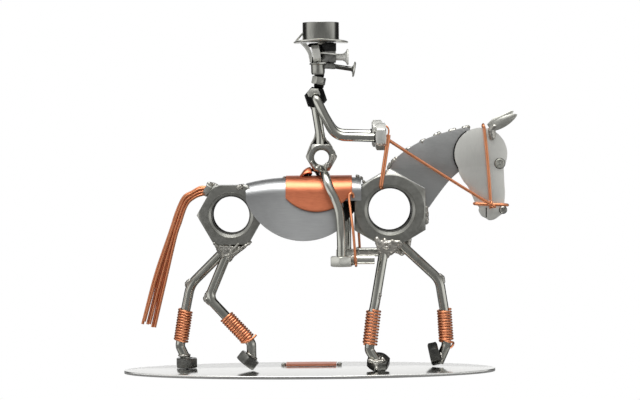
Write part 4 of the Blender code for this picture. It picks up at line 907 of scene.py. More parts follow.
def leg_line(name):
    side, upper, wrap, foot = LEGS[name]
    hind = name.startswith("hind")
    nut_x = CROUP.x if hind else CHEST.x
    top_y = side * (4.4 if hind else 6.6) * MM
    low_y = middle(f"hoof_{name}").y
    line = []
    for x, h in upper + wrap + foot:
        share = min(1.0, max(0.0, (88.0 - h) / (88.0 - 35.0)))
        line.append(Vector((nut_x + x * MM, top_y + (low_y - top_y) * share, BASE_TOP + h * MM)))
    while hidden_by_nut(line[0], hind):
        line[0] = line[0].lerp(line[1], 0.02)
    return line


def hidden_by_nut(place, hind):
    """Whether a place is above the underside of the rear or the front nut."""
    if hind:
        return place.z > CROUP.z - CROUP_AF / 2 - 0.2 * MM
    slope = abs(place.x - CHEST.x) * math.tan(POINT_UP)
    return place.z > CHEST.z - CHEST_AF / math.sqrt(3) + slope - 0.2 * MM


def make_hooves():
    for name, (axis, turn) in HOOVES.items():
        hoof = nut("hoof", 13.0 * MM, 6.8 * MM, 6.3 * MM, 0.5 * MM, 1.25 * MM, 30)
        drop = mm(0, 0, 0.7 if name == "fore_near" else 0.0)
        facing(hoof, middle(f"hoof_{name}") - drop, axis, turn)
        piece(hoof, f"hoof_nut_{name}", DARK_NUT_AND_SHADE, "steel", f"hoof_{name}")


def make_leg(name):
    side = LEGS[name][0]
    line = leg_line(name)
    bar(f"leg_rod_{name}", "steel", [bent(line[:4], 5 * MM) + bent(line[4:], 2.6 * MM, 6)],
        LEG_ROD, ROD_STEEL, 32, f"leg_{name}")
    knee = line[2]
    below = (line[3] - knee).normalized()
    above = (line[1] - knee).normalized()
    outer = -(below + above).normalized()
    spot = knee + outer * (LEG_ROD / 2 - 1.1 * MM)
    if name == "fore_near":
        spot = line[3] + mm(3.1, 0, 9.0)
        above = (line[2] - line[3]).normalized()
        below = -above
    long = {"hind_far": 1.6, "hind_near": 3.6, "fore_near": 1.6, "fore_far": 2.2}[name] * MM
    runs = [(1.75, [spot + above * long, spot + outer * 0.2 * MM, spot + below * long])]
    axis = HOOVES[name][0]
    foot = line[-1]
    shadow_ring = foot + (line[-2] - foot) * 0.35
    round_foot = []
    for step in range(13):
        angle = 2 * math.pi * step / 12
        ring = axis.orthogonal().normalized()
        ring.rotate(Quaternion(axis, angle))
        round_foot.append(shadow_ring + ring * 3.3 * MM)
    runs.append((0.95, round_foot))
    if name == "fore_near":
        runs += [(1.3, path(foot, (-4.6, -4.6, 1.6), (-0.6, -6.2, 0.4), (3.4, -5.4, 1.2))),
                 (1.1, path(foot, (-0.8, -6.4, -0.6), (-0.2, -7.0, -3.0))),
                 (1.2, path(foot, (3.6, -4.0, 2.6), (5.4, -2.4, 0.0), (5.2, -3.6, -2.6)))]
    weld(f"leg_weld_{name}", "steel", runs, 20 + len(name) + side)


def make_leg_roots():
    """The weld metal that carries each pair of legs under its nut."""
    behind = CROUP_T / 2 - 9.5 * MM
    for label, side in SIDES:
        def under_rear(*places):
            return smooth_line([CROUP + Vector((x * MM, side * (y * MM + behind), z * MM))
                                for x, y, z in places], 6)
        rows = ((1.4, -9.2, 7.2, -20.7), (1.6, -8.2, 4.6, -22.4), (1.7, -7.0, 2.2, -24.4),
                (1.7, -6.0, 0.2, -26.4), (1.6, -5.2, -1.4, -28.4))
        runs = []
        for radius, left, right, z in rows:
            y = 7.7 + (z + 20.7) * 0.08
            runs.append((radius, under_rear((left, y, z + 0.7), (right, y, z - 0.5))))
        runs += [(0.9, under_rear((11.6, 9.4, -18.4), (5.8, 9.4, -21.8), (0.0, 8.6, -26.4),
                                  (-1.8, 7.8, -29.4))),
                 (0.8, under_rear((4.6, 9.9, -18.6), (1.4, 9.7, -22.0), (-2.2, 8.9, -26.6))),
                 (0.9, under_rear((-10.8, 9.6, -18.2), (-8.0, 9.8, -22.0), (-5.6, 8.8, -26.6))),
                 (1.6, under_rear((8.4, 4.6, -20.2), (1.0, 4.6, -25.4))),
                 (1.6, under_rear((-8.0, 4.6, -20.0), (-3.6, 4.6, -26.4)))]
        weld(f"croup_root_weld_{label}", "steel", runs, 31 + side, uneven=0.16, voxel=0.36,
             lumpy=0.22, settled=4)
    front = CHEST_T / 2 - 12.0 * MM
    for label, side in SIDES:
        def under_front(*places):
            return smooth_line([CHEST + Vector((x * MM, side * (y * MM + front), z * MM))
                                for x, y, z in places], 6)
        if side < 0:
            rows = ((2.0, -7.8, 4.8, -21.2), (2.1, -6.8, 2.8, -23.8),
                    (2.0, -6.0, 1.0, -25.8), (1.9, -5.4, -0.8, -27.8), (1.8, -5.0, -2.2, -29.8))
            runs = []
            for radius, left, right, z in rows:
                y = 11.2 + (z + 19.8) * 0.22
                runs.append((radius, under_front((left, y, z), (right, y, z))))
            crater = [(-2.5 + 1.7 * math.cos(a), 12.9, -22.6 + 1.5 * math.sin(a))
                      for a in (math.pi * i / 6 for i in range(13))]
            runs += [(0.8, under_front(*crater)),
                     (1.9, under_front((-8.4, 11.4, -18.8), (-7.6, 11.4, -20.4))),
                     (1.5, under_front((-3.6, 11.6, -19.4), (-2.8, 11.6, -20.4))),
                     (1.4, under_front((1.4, 11.6, -19.9), (1.8, 11.6, -20.8))),
                     (1.2, under_front((5.8, 11.8, -20.4), (7.0, 11.0, -21.6))),
                     (2.2, under_front((6.0, 7.0, -22.8), (0.0, 7.0, -27.4)))]
        else:
            runs = [(2.3, under_front((12.4, 11.0, -19.4), (11.6, 9.0, -25.0))),
                    (2.2, under_front((8.0, 10.0, -22.8), (5.8, 8.4, -26.4), (8.0, 6.8, -28.6))),
                    (2.2, under_front((1.6, 9.2, -25.0), (4.6, 8.0, -27.2)))]
        weld(f"chest_root_weld_{label}", "steel", runs, 41 + side, uneven=0.05, voxel=0.42,
             lumpy=0.08, settled=12, skin=WELD_STEEL)


def make_wraps():
    """Copper wire wound close round each shank, with the end that stands off two of them."""
    for index, name in enumerate(LEGS):
        start, end = leg_line(name)[3:5]
        length = (end - start).length
        holder = scene_object("wrap", bpy.data.meshes.new("wrap"))
        coil = grown(holder, COIL_TREE, Turns=11.7, Radius=LEG_ROD / 2 + 1.05 * MM,
                     Height=length + 0.2 * MM, Wire=1.56 * MM, Wobble=0.16 * MM, Seed=0.37 * index,
                     Metal=COPPER_WIRE)
        along = (start - end).normalized()
        facing(coil, end - along * 0.1 * MM, along, 1.3 * index)
        piece(coil, f"wrap_coil_{name}", None, "copper", f"leg_wrap_{name}")
    for leg, places in (
            ("hind_near", ((-4.2, -2.4, -1.8), (-1.8, -4.4, -1.5), (2.2, -4.4, 0.2),
                           (5.4, -2.8, 3.0))),
            ("fore_far", ((-4.6, -1.6, 1.6), (-1.0, -4.6, 0.6), (3.2, -3.8, -0.6),
                          (4.6, -0.8, -1.6), (4.0, 1.0, -3.6), (2.6, 2.0, -5.0)))):
        line = smooth_line(path(leg_line(leg)[4], *places), 6)
        bar(f"wrap_loose_end_{leg[:4]}", "copper", [line], 1.5 * MM, COPPER_WIRE, 12)


# Tail

def make_tail():
    """Copper strands between an upper and a lower line, welded in a small nut at the dock."""
    normal = Vector((-math.cos(POINT_UP), 0, math.sin(POINT_UP)))
    flat = Vector((math.sin(POINT_UP), 0, math.cos(POINT_UP)))
    on_flat = CROUP + normal * (CROUP_AF / 2) + flat * (CROUP_AF / 2 * 0.34)
    centre = on_flat + normal * 2.3 * MM
    dock = facing(nut("dock", 8.0 * MM, 0, 4.0 * MM), centre, normal)
    piece(dock, "tail_hex_nut", BRIGHT_STEEL, "bright_steel", "tail_nut")
    runs = [(1.5, path(centre, (1.0, -1.6, 3.6), (3.6, 0, 3.2), (6.4, 1.2, 1.4))),
            (1.0, path(centre, (-0.6, -3.0, -3.0), (1.6, -3.0, 1.4)))]
    weld("tail_weld", "bright_steel", runs, 51)
    upper = [(0.0, 1.4), (-5.0, 1.4), (-10.6, -1.6), (-14.5, -3.6), (-17.2, -7.4), (-20.6, -15.2),
             (-24.8, -27.4), (-34.8, -55.6), (-43.2, -86.4)]
    lower = [(0.0, -2.2), (-5.6, -3.8), (-10.2, -6.2), (-12.9, -8.8), (-15.0, -13.2),
             (-17.6, -21.0), (-20.8, -30.2), (-27.2, -56.0), (-35.2, -90.0)]
    ends = (-0.4, 2.2, 0.9, 1.9, 0.5, 1.2)
    lines = []
    for index, end in enumerate(ends):
        share = index / (len(ends) - 1)
        route = []
        for step, ((ax, az), (bx, bz)) in enumerate(zip(upper, lower)):
            sway = 0.15 * math.sin(2.4 * index + 1.1 * step) * min(1.0, step / 3)
            y = (0.45 - index % 2 * 0.9) * 1.6 + sway
            route.append(centre + mm(ax + (bx - ax) * share + 0.6 * sway, y,
                                     az + (bz - az) * share))
        route[0].x += 0.37 * index * MM
        route[-1].z += end * MM
        lines.append(smooth_line(route, 8))
    bar("tail_copper_strands", "copper", lines, 1.8 * MM, COPPER_WIRE, 16, "tail_wires")


# Bridle and reins

def layer(side, count):
    """How far out the count-th wire from the head plate lies."""
    return HEAD_Y + side * (HEAD_T / 2 + (count - 1) * (WIRE + 0.3 * MM) + 0.3 * MM + WIRE / 2)


def make_bridle():
    """The cheek wire over the poll, and the noseband round the muzzle."""
    near = layer(-1, 1)
    far = layer(1, 1)
    route = [(5.9, -29.5), (4.9, -13.5), (3.6, 2.5), (2.2, 16.0)]
    top = HEAD_CENTRE.z + HEAD_DISC_R + 0.3 * MM + WIRE / 2 + 0.4 * MM
    line = [from_head(x, z) + Vector((0, near, 0)) for x, z in route]
    over = from_head(1.6, 0)
    line.append(Vector((over.x, near, top - 0.8 * MM)))
    line.append(Vector((over.x, (near + far) / 2, top + 0.3 * MM)))
    line.append(Vector((over.x, far, top - 0.8 * MM)))
    line += [from_head(x, z) + Vector((0, far, 0)) for x, z in reversed(route)]
    bar("bridle_cheek_copper", "copper", [smooth_line(line, 6)], WIRE * 0.98, COPPER_WIRE, 16,
        "bridle_cheek_wire")
    low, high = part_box("noseband")
    middle_band = (low + high) / 2
    wide = (high.x - low.x - WIRE) / 2
    half = (high.y - low.y - WIRE) / 2
    ring = []
    for index in range(61):
        angle = math.radians(-76 + 332 * index / 60)
        x = math.sin(angle)
        y = -math.cos(angle)
        ring.append(middle_band + Vector((wide * abs(x) ** 0.7 * math.copysign(1, x),
                                          half * abs(y) ** 0.45 * math.copysign(1, y),
                                          -0.5 * MM * x)))
    bar("noseband_copper", "copper", [ring], WIRE, COPPER_WIRE, 16, "noseband")


def make_reins():
    for label, side in SIDES:
        hand = HAND[side]
        start = hand + Vector((HAND_T / 2 + 0.2 * MM, side * 2.0 * MM, -1.6 * MM))
        end = from_head(6.2, -32.6) + Vector((0, layer(side, 3), 0))
        slack = mm(0, 0, -0.3)
        line = [start, start.lerp(end, 0.33) + slack, start.lerp(end, 0.66) + slack, end,
                end + mm(1.5, 0, -0.9)]
        bar(f"rein_copper_{label}", "copper", [smooth_line(line, 8)], WIRE, COPPER_WIRE, 16,
            f"rein_{label}")
        holder = scene_object("hitch", bpy.data.meshes.new("hitch"))
        hitch = grown(holder, COIL_TREE, Turns=1.6, Radius=1.9 * MM, Height=2.2 * MM,
                      Wire=1.3 * MM, Wobble=0.2 * MM, Seed=3.0, Metal=COPPER_WIRE)
        facing(hitch, end + mm(-1.4, -side * 1.6, -0.2), (1, 0, 0.3))
        piece(hitch, f"rein_hitch_{label}", None, "copper")


def make_rein_end():
    """The strap from the near hand down to the chest nut's bore, and the loop at the hand."""
    hand = HAND[-1]
    x = hand.x + HAND_T / 2 + 0.3 * MM + WIRE / 2
    front = -(CHEST_T / 2 + WIRE / 2)
    tilt = math.radians(20)
    radial = Vector((-math.sin(tilt), 0, math.cos(tilt)))
    bore = 13.6 * MM
    sink = 2.9 * MM
    rim = CHEST + radial * (bore + sink)
    line = [Vector((x + 0.2 * MM, hand.y - 4.0 * MM, hand.z + 1.0 * MM)),
            Vector((x - 0.1 * MM, hand.y - 4.4 * MM, hand.z - 1.6 * MM)),
            rim + Vector((0.4 * MM, front, 2.6 * MM)), rim + Vector((-0.1 * MM, front, -0.6 * MM)),
            rim - radial * 1.6 * MM + Vector((-0.1 * MM, 1.0 * MM - CHEST_T / 2, 0))]
    bar("rein_end_copper", "copper", [bent(line, 1.2 * MM, 6)], 2.7 * MM, COPPER_WIRE, 16,
        "rein_end")
    loop = path(hand, (3.2, -2.4, 6.8), (4.4, -2.8, 5.8), (5.0, -3.3, 4.0), (4.9, -3.7, 2.2),
                (4.3, -3.8, 0.4))
    bar("rein_loop_copper", "copper", [smooth_line(loop, 6)], 1.1 * MM, COPPER_WIRE, 12)


# Rider

def ring_across(centre, radius):
    """A closed ring round a bar that runs along X, its radius in mm."""
    angles = [2 * math.pi * step / 12 for step in range(13)]
    return [centre + mm(0, radius * math.cos(a), radius * math.sin(a)) for a in angles]


def make_rider_body():
    hip = nut("hip", HIP_AF * 1.03, 9.6 * MM, HIP_T, 1.3 * MM, 1.5 * MM, 36, 0.93)
    piece(facing(hip, HIP, ALONG_Y), "hip_hex_nut", NUT_STEEL, "steel", "hip_nut")
    # The shoulder nut is nearly black for painted shade, and a pale patch on each face paints the
    # light on its upper part.
    shoulder = nut("shoulder", SHOULDER_AF, 0, 6.5 * MM, chamfer=36, round_to=0.9)
    piece(facing(shoulder, SHOULDER, ALONG_Y, math.radians(12)), "shoulder_hex_nut", BLACK_STEEL_AND_SHADE,
          "steel", "shoulder_nut")
    patch = [(SHOULDER.x + x * MM, SHOULDER.z + z * MM) for x, z in
             ((-5.6, 3.4), (-2.6, 6.0), (1.6, 5.6), (3.0, 2.6), (2.8, 0.6), (-1.0, -0.2),
              (-4.8, 0.8))]
    for label, side in SIDES:
        ground = plate("patch", patch, 0.5 * MM, side * 3.3 * MM, 0.12)
        piece(ground, f"shoulder_painted_highlight_{label}", BRIGHT_STEEL, "steel")
    for label, side in SIDES:
        hand = facing(nut("hand", HAND_AF, 0, HAND_T, chamfer=32), HAND[side], ALONG_X)
        piece(hand, f"hand_hex_nut_{label}", PLATE_STEEL, "bright_steel", f"hand_nut_{label}")
    line = path(HIP, (-0.8, 0, HIP_AF / MM / 2 - 0.5), (-1.0, 0, 16.0), (-3.6, 0, 33.0))
    bar("torso_bar", "steel", [smooth_line(line, 8)], ROD, ROD_STEEL, 32, "torso_rod")
    top = HIP_AF / MM / 2
    runs = []
    for _, side in SIDES:
        runs.append((0.75, smooth_line(path(HIP, (-1 + side * 2.4, -0.6, top + 7.6),
                                            (-1 + side * 3.4, -0.8, top + 3.6),
                                            (-0.6 + side * 5.6, -0.8, top + 0.6),
                                            (-0.2 + side * 8.0, -0.8, top - 4.4),
                                            (side * 9.4, -0.8, top - 7.6)), 6)))
    weld("waist_weld", "steel", runs, 61, uneven=0.08, voxel=0.28, lumpy=0.12)
    web = [(HIP.x + x * MM, HIP.z + (top + z) * MM) for x, z in
           ((-3.4, 6.6), (-4.6, 3.2), (-6.6, 0.3), (5.6, 0.3), (3.0, 3.2), (1.6, 6.6))]
    piece(plate("web", web, 1.6 * MM, 0.4 * MM), "waist_web", BLACK_STEEL_AND_SHADE, "steel")
    runs = [(1.3, path(SHOULDER, (-2.2, 0, -6.2), (1.6, 0, -6.4)))]
    weld("shoulder_weld", "steel", runs, 62)


def make_arms():
    for label, side in SIDES:
        hand = HAND[side]
        lift = hand.z - HAND[-1].z
        y = hand.y
        line = [SHOULDER + mm(0, side * 0.2, 0), SHOULDER + Vector((0, side * 7.75 * MM, 0)),
                Vector((SHOULDER.x + 5.4 * MM, y, SHOULDER.z - 11.5 * MM)),
                Vector((SHOULDER.x + 12.4 * MM, y, SHOULDER.z - 24.9 * MM + lift)),
                Vector((hand.x - HAND_T, y, hand.z - 0.4 * MM)),
                Vector((hand.x - HAND_T / 2 + 0.5 * MM, y, hand.z - 0.4 * MM))]
        bar(f"arm_bar_{label}", "steel", [bent(line, 8 * MM)], ROD, ROD_STEEL, 32, f"arm_{label}")
        wrist = Vector((hand.x - HAND_T / 2 - 0.4 * MM, y, hand.z - 0.4 * MM))
        weld(f"wrist_weld_{label}", "steel", [(0.6, ring_across(wrist, 3.1))], 63 + side,
             uneven=0.2, voxel=0.25, lumpy=0.12, skin=BLACK_STEEL_AND_SHADE)


RIDER_LEG_LIFT = SADDLE_LIFT + SADDLE_T / 2 + 0.4 * MM + ROD / 2


def beside(x, z):
    """The near point at a height where a leg rod just clears the saddle."""
    return lifted(x, reach_at(x, z, RIDER_LEG_LIFT), RIDER_LEG_LIFT)


def make_rider_legs():
    for label, side in SIDES:
        boot = BOOT[side]
        shift = (boot.x - BOOT[-1].x) / MM
        line = [HIP + mm(0.6, side * 3.4, -HIP_AF / MM / 2 + 0.2)]
        for x, drop in ((2.0, 11.0), (3.6, 15.5), (5.8, 21.0), (8.4, 26.6), (10.4, 33.0),
                        (11.2, 39.5)):
            share = (drop - 11.0) / 28.5
            place = beside(HIP.x + (x + shift * share) * MM, HIP.z - drop * MM)
            place.y = side * abs(place.y)
            line.append(place)
        line.append(boot + mm(0, 0, 14))
        line.append(boot + mm(0, 0, 2.6))
        bar(f"rider_leg_bar_{label}", "steel", [smooth_line(line, 6)], ROD, ROD_STEEL, 32,
            f"rider_leg_{label}")
        low = -HIP_AF / MM / 2
        front = HIP_T / 2 / MM
        runs = [(radius, smooth_line([HIP + mm(x, side * (front - inset), z)
                                      for x, inset, z in places], 5))
                for radius, *places in (
                    (1.2, (-6.4, 0.2, -3.0), (-3.6, 0, low + 1.6), (0.6, 0, low - 1.4)),
                    (1.5, (-1.6, 0, -5.8), (0.4, 0, low), (1.9, 0.4, low - 3.0)),
                    (1.5, (3.4, 0, -4.8), (2.6, 0, low), (2.3, 0.4, low - 3.4)),
                    (1.1, (7.0, 0.2, 1.2), (5.6, 0, -3.2), (3.4, 0, -6.6)))]
        runs.append((1.6, path(HIP, (-1.0, side * 2.0, low), (2.0, side * 3.0, low - 2.0))))
        weld(f"hip_weld_{label}", "steel", runs, 71 + side, lumpy=0.14)
        block_nut = facing(nut("boot", BOOT_AF, 0, 6.5 * MM), boot, ALONG_Z, math.radians(20))
        piece(block_nut, f"boot_hex_nut_{label}", BRIGHT_STEEL, "steel", f"boot_nut_{label}")
        toe = boot + mm(0, 0, 1.1)
        bar(f"toe_bar_{label}", "steel", [path(toe, (4.5, 0, 0), (20.8, 0, 0))], 5.9 * MM,
            BRIGHT_STEEL, 32, f"toe_rod_{label}")
        runs = [(1.1, ring_across(toe + mm(7.2, 0, 0), 2.6))]
        weld(f"toe_weld_{label}", "steel", runs, 73 + side)


TOE_CLEARANCE = 5.7 * MM / 2 + 0.3 * MM


def make_stirrups():
    """A wire from a hook under the saddle's front, down and under each toe."""
    for label, side in SIDES:
        boot = BOOT[side]
        wire = 1.7 * MM
        top = BARREL_X + (31.0 if side < 0 else 33.6) * MM
        lift = BARREL_T / 2 + 0.3 * MM + wire / 2 + 0.1 * MM
        hook = lifted(top, reach_at(top, HIP.z - 23.5 * MM, lift), lift)
        outer = abs(boot.y) + TOE_CLEARANCE + wire / 2
        toe_z = boot.z + 1.1 * MM
        under = toe_z - TOE_CLEARANCE - wire / 2
        x = boot.x + 8.6 * MM
        places = [(hook.x + 0.6 * MM, abs(hook.y), hook.z - 2.0 * MM),
                  (hook.x + 0.4 * MM, abs(hook.y) + 0.5 * MM, hook.z + 0.4 * MM),
                  (hook.x - 1.1 * MM, abs(hook.y) + 2.2 * MM, hook.z + 0.6 * MM),
                  (hook.x - 2.0 * MM, abs(hook.y) + 3.6 * MM, hook.z - 3.0 * MM),
                  (x - 1.2 * MM, outer - 1.6 * MM, toe_z + 18.0 * MM),
                  (x, outer, toe_z + 1.5 * MM),
                  (x + 0.3 * MM, outer - 0.57 * MM, toe_z - 2.3 * MM),
                  (x + 0.5 * MM, abs(boot.y), under)]
        line = smooth_line([Vector((px, side * py, pz)) for px, py, pz in places], 6)
        bar(f"stirrup_copper_{label}", "copper", [line], wire, COPPER_WIRE, 14, f"stirrup_{label}")


# Rider's head

FACE_X = SHOULDER.x + 8.6 * MM
BRIM_Z = SHOULDER.z + 35.6 * MM
FACE_AF = 8.4 * MM


def make_head_stack():
    """Neck nut, jaw stud, skull nut and the strip behind it, with their welds."""
    neck = SHOULDER + mm(2.0, 0, 11.0)
    nut_body = facing(nut("neck", 8.0 * MM, 0, 5.0 * MM), neck, (0.2, 0, 1), math.radians(15))
    piece(nut_body, "neck_hex_nut", NUT_STEEL, "steel", "rider_neck_nut")
    runs = [(1.9, path(neck, (-1.6, -0.6, -3.0), (1.2, 0.6, -3.6))),
            (1.8, path(neck, (-1.2, 0.4, 3.2), (1.8, -0.4, 3.6)))]
    weld("neck_weld", "steel", runs, 81, lumpy=0.16, skin=BLACK_STEEL_AND_SHADE)
    top = span("rider_jaw").z / 2
    r = span("rider_jaw").x / 2
    shadow_ring = facing(disc("shadow_ring", 5.4, 0.4, 40), JAW + mm(1.0, 0, top / MM - 0.2), (-0.06, 0, 1))
    piece(shadow_ring, "jaw_washer", PALE_STEEL, "steel")
    jaw = turned("jaw", [(0, top), (r - 0.3 * MM, top), (r, top - 0.3 * MM), (r, top - 0.8 * MM),
                         (r - 0.3 * MM, top - 1.1 * MM), (0.82 * r, top - 1.2 * MM),
                         (0.8 * r, -top + 1.2 * MM), (0.72 * r, -top), (0, -top)], 48)
    piece(facing(jaw, JAW), "jaw_stud", NUT_STEEL, "steel", "rider_jaw")
    skull_at = SHOULDER + mm(0.6, 0, 28.3)
    tilt = (math.cos(math.radians(8)), 0, math.sin(math.radians(8)))
    skull = facing(nut("skull", 10.9 * MM, 0, 5.2 * MM, chamfer=34), skull_at, tilt)
    piece(skull, "skull_hex_nut", PALE_STEEL, "bright_steel", "skull_nut")
    # Black weld metal round the skull nut, which also paints the shade between the strip, the
    # skull nut and the face.
    runs = [(1.5, path(skull_at, (2.6, 0, 5.4), (4.0, 0, -5.0))),
            (1.3, path(skull_at, (-4.0, 0, 5.4), (3.0, 0, 6.0))),
            (1.3, path(skull_at, (-3.4, 0, -2.6), (-2.6, 0, -5.0))),
            (1.0, path(skull_at, (0.4, -2.0, -5.8), (0.8, 2.0, -5.8)))]
    weld("skull_weld_and_shade", "bright_steel", runs, 82, lumpy=0.1, skin=BLACK_STEEL_AND_SHADE)
    drip = [(1.1, path(skull_at, (2.0, -1.6, 6.6), (5.6, -1.6, 6.6))),
            (0.9, path(skull_at, (4.8, -2.0, 6.0), (5.0, -2.2, 3.9)))]
    weld("brim_weld", "bright_steel", drip, 83, lumpy=0.1, skin=WELD_STEEL)
    back = smooth_line([SHOULDER + mm(x, 0, z) for x, z in
                        ((-9.6, 35.0), (-7.8, 33.2), (-6.2, 31.0), (-4.7, 28.2), (-4.0, 25.0),
                         (-3.7, 22.8))], 5)
    inner = [p + mm(1.4 + 2.4 * (p.z - back[-1].z) / (back[0].z - back[-1].z), 0, 0)
             for p in reversed(back)]
    strip = plate("strip", [(p.x, p.z) for p in back + inner], 8.0 * MM)
    piece(strip, "skull_back_strip", PLATE_STEEL, "steel", "skull_strip")


def make_face():
    """The stud and nuts of the face, the nose's rivet and the nail under it."""
    low = SHOULDER.z + 18.6 * MM
    high = BRIM_Z - 0.2 * MM
    stud = turned("stud", [(0, high - low), (3.4 * MM, high - low), (3.4 * MM, 0), (0, 0)], 32)
    parts = [facing(stud, (FACE_X, 0, low))]
    small = nut("small", FACE_AF + 0.9 * MM, 0, 5.2 * MM, chamfer=20)
    parts.append(facing(small, (FACE_X + 0.2 * MM, 0, SHOULDER.z + 32.4 * MM), ALONG_Z, POINT_UP))
    # The face's stud and its nut are nearly black: painted shade between the skull nut and the
    # face.
    piece(merged("face", parts), "face_stud_in_shade", BLACK_STEEL_AND_SHADE, "steel", "face_nuts")
    for name, z, tall, across in (("chin", 20.3, 3.6, 8.0), ("cheek", 25.4, 5.6, 9.0),
                                  ("brow", 29.4, 2.2, 8.6)):
        small = nut(name, across * MM, 0, tall * MM, chamfer=24)
        facing(small, (FACE_X + 0.2 * MM, 0, SHOULDER.z + z * MM), (0.06, 0, 1), POINT_UP)
        piece(small, f"face_{name}_nut", DARK_NUT_AND_SHADE, "steel")
    brow = facing(disc("brow", 5.9, 0.45, 40), (FACE_X - 0.4 * MM, 0, SHOULDER.z + 28.3 * MM),
                  (0.1, 0, 1))
    piece(brow, "brow_washer", PALE_STEEL, "bright_steel")
    front = FACE_X + FACE_AF / 2 + 0.2 * MM
    nose = [(0, 8.4), (4.6, 8.4), (5.1, 8.1), (5.2, 7.6), (5.0, 7.2), (3.6, 6.6), (2.7, 5.6),
            (2.2, 4.4), (2.1, 0), (0, 0)]
    nose = turned("nose", [(r * MM, h * MM) for r, h in nose], 48)
    facing(nose, (front, 0, SHOULDER.z + 26.0 * MM), ALONG_X)
    piece(nose, "nose_polished_rivet", PALE_STEEL, "bright_steel", "nose_rivet", smooth=50)
    nail = [(0, 12.8), (4.0, 12.7), (4.9, 12.3), (5.1, 11.9), (4.9, 11.5), (2.6, 11.0),
            (1.5, 10.4), (1.5, -0.6), (0, -0.6)]
    nail = turned("nail", [(r * MM, h * MM) for r, h in nail], 40)
    facing(nail, (front, 0, SHOULDER.z + 20.0 * MM), (1, 0, -0.16))
    piece(nail, "chin_nail_bar", DARK_NUT_AND_SHADE, "steel", "chin_nail", smooth=50)
    second_metal(nail, BRIGHT_STEEL, lambda face: face.center.x > front + 10.4 * MM)


def make_hat():
    """A turned crown on a brim that dips fore and aft, and the strut behind it."""
    hat_r = 11.8 * MM
    brim_r = 17.6 * MM
    height = 12.7 * MM
    edge = 0.2 * MM
    profile = [(0, height), (hat_r * 0.5, height), (hat_r - edge, height)]
    profile += [(hat_r - edge + edge * math.sin(a), height - edge + edge * math.cos(a))
                for a in (math.radians(15 * i) for i in range(1, 7))]
    profile += [(hat_r, 2.0 * MM), (hat_r + 0.2 * MM, 1.4 * MM)]
    steps = 6
    rings = [hat_r + (brim_r - hat_r) * (i + 0.5) / steps for i in range(steps)]
    profile += [(radius, 1.3 * MM) for radius in rings]
    profile += [(brim_r, 0.95 * MM), (brim_r, 0.35 * MM)]
    profile += [(radius, 0.0) for radius in reversed(rings)]
    profile += [(hat_r, 0), (0, 0)]
    hat = turned("hat", profile, 96)
    for vert in hat.data.vertices:
        out = max(0.0, math.hypot(vert.co.x, vert.co.y) - hat_r) / (brim_r - hat_r)
        if out > 0:
            share = vert.co.x ** 2 / (vert.co.x ** 2 + vert.co.y ** 2)
            vert.co.z += out * (0.5 - 1.2 * share) * MM
    place = Vector((SHOULDER.x + 3.6 * MM, 0, BRIM_Z))
    piece(facing(hat, place), "top_hat_turned", HAT_STEEL, "steel", "top_hat", smooth=40)
    second_metal(hat, BRIGHT_STEEL, lambda face: math.hypot(
        face.center.x - place.x, face.center.y) > hat_r + 0.3 * MM)
    strut = path(place, (-11.5, 0, 6.0), (-16.0, 0, 0.9))
    bar("hat_strut", "steel", [strut], 1.2 * MM, ROD_STEEL, 12)


def make_back_beads():
    """Small weld beads where the folded sheet meets the nuts, and behind the saddle."""
    ridge = RIDGE_Z + 0.4 * MM
    rear = CROUP + mm(5.8, 0, 17.8)
    spots = [(1.7, path(rear, (-0.6, -9.6, -0.2), (0.6, -9.4, 0.2))),
             (1.5, path(rear, (0, 9.0, 0), (1.2, 8.6, 0.4))),
             (1.0, [Vector((SADDLE_REAR - 1.2 * MM, -2.4 * MM, ridge)),
                    Vector((SADDLE_REAR - 1.0 * MM, 2.4 * MM, ridge))])]
    for x, y, z, radius in ((23.0, 2.6, -12.2, 1.25), (25.4, 4.6, -13.2, 1.0),
                            (26.8, 6.4, -15.4, 0.95), (27.5, 8.4, -18.8, 0.9)):
        for _, side in SIDES:
            spot = HIP + mm(x, side * y, z)
            spots.append((radius, [spot, spot + mm(0.3, 0, -0.4)]))
    weld("back_weld_beads", "steel", spots, 91)


make_base()
make_plaque()
make_body_nuts()
make_barrel()
make_saddle()
make_neck()
make_head()
make_ears()
make_hooves()
for leg in LEGS:
    make_leg(leg)
make_leg_roots()
make_wraps()
make_tail()
make_bridle()
make_reins()
make_rein_end()
make_rider_body()
make_arms()
make_rider_legs()
make_stirrups()
make_head_stack()
make_face()
make_hat()
make_back_beads()


# Floor, light and camera

def make_floor():
    bm = bmesh.new()
    bmesh.ops.create_grid(bm, x_segments=1, y_segments=1, size=0.45)
    bmesh.ops.translate(bm, verts=bm.verts, vec=(0, 0, -0.05 * MM))
    floor = from_bmesh("floor", bm)
    white = bpy.data.materials.new("matt_white_floor")
    white.use_nodes = True
    tree = white.node_tree
    tree.nodes.clear()
    matt = add(tree, "ShaderNodeBsdfDiffuse", {"Color": (0.20, 0.20, 0.20, 1)})
    bright = add(tree, "ShaderNodeEmission", {"Strength": 1.0})
    seen = add(tree, "ShaderNodeLightPath")
    shown = add(tree, "ShaderNodeMixShader",
                {0: seen.outputs["Is Camera Ray"], 1: matt.outputs[0], 2: bright.outputs[0]})
    add(tree, "ShaderNodeOutputMaterial", {"Surface": shown.outputs[0]})
    floor.data.materials.append(white)


def brightness(tree, source, stops):
    """A smooth ramp of grey light over a node's value, from (value, brightness) stops."""
    value = source.outputs["Value"]
    ramp = add(tree, "ShaderNodeValToRGB", {"Fac": value})
    ramp.color_ramp.interpolation = "EASE"
    while len(ramp.color_ramp.elements) < len(stops):
        ramp.color_ramp.elements.new(0.5)
    for element, (position, light) in zip(ramp.color_ramp.elements, stops):
        element.position = position
        element.color = (light, light, light, 1)
    return ramp


WHITE = (1.0, 1.0, 1.0, 1.0)
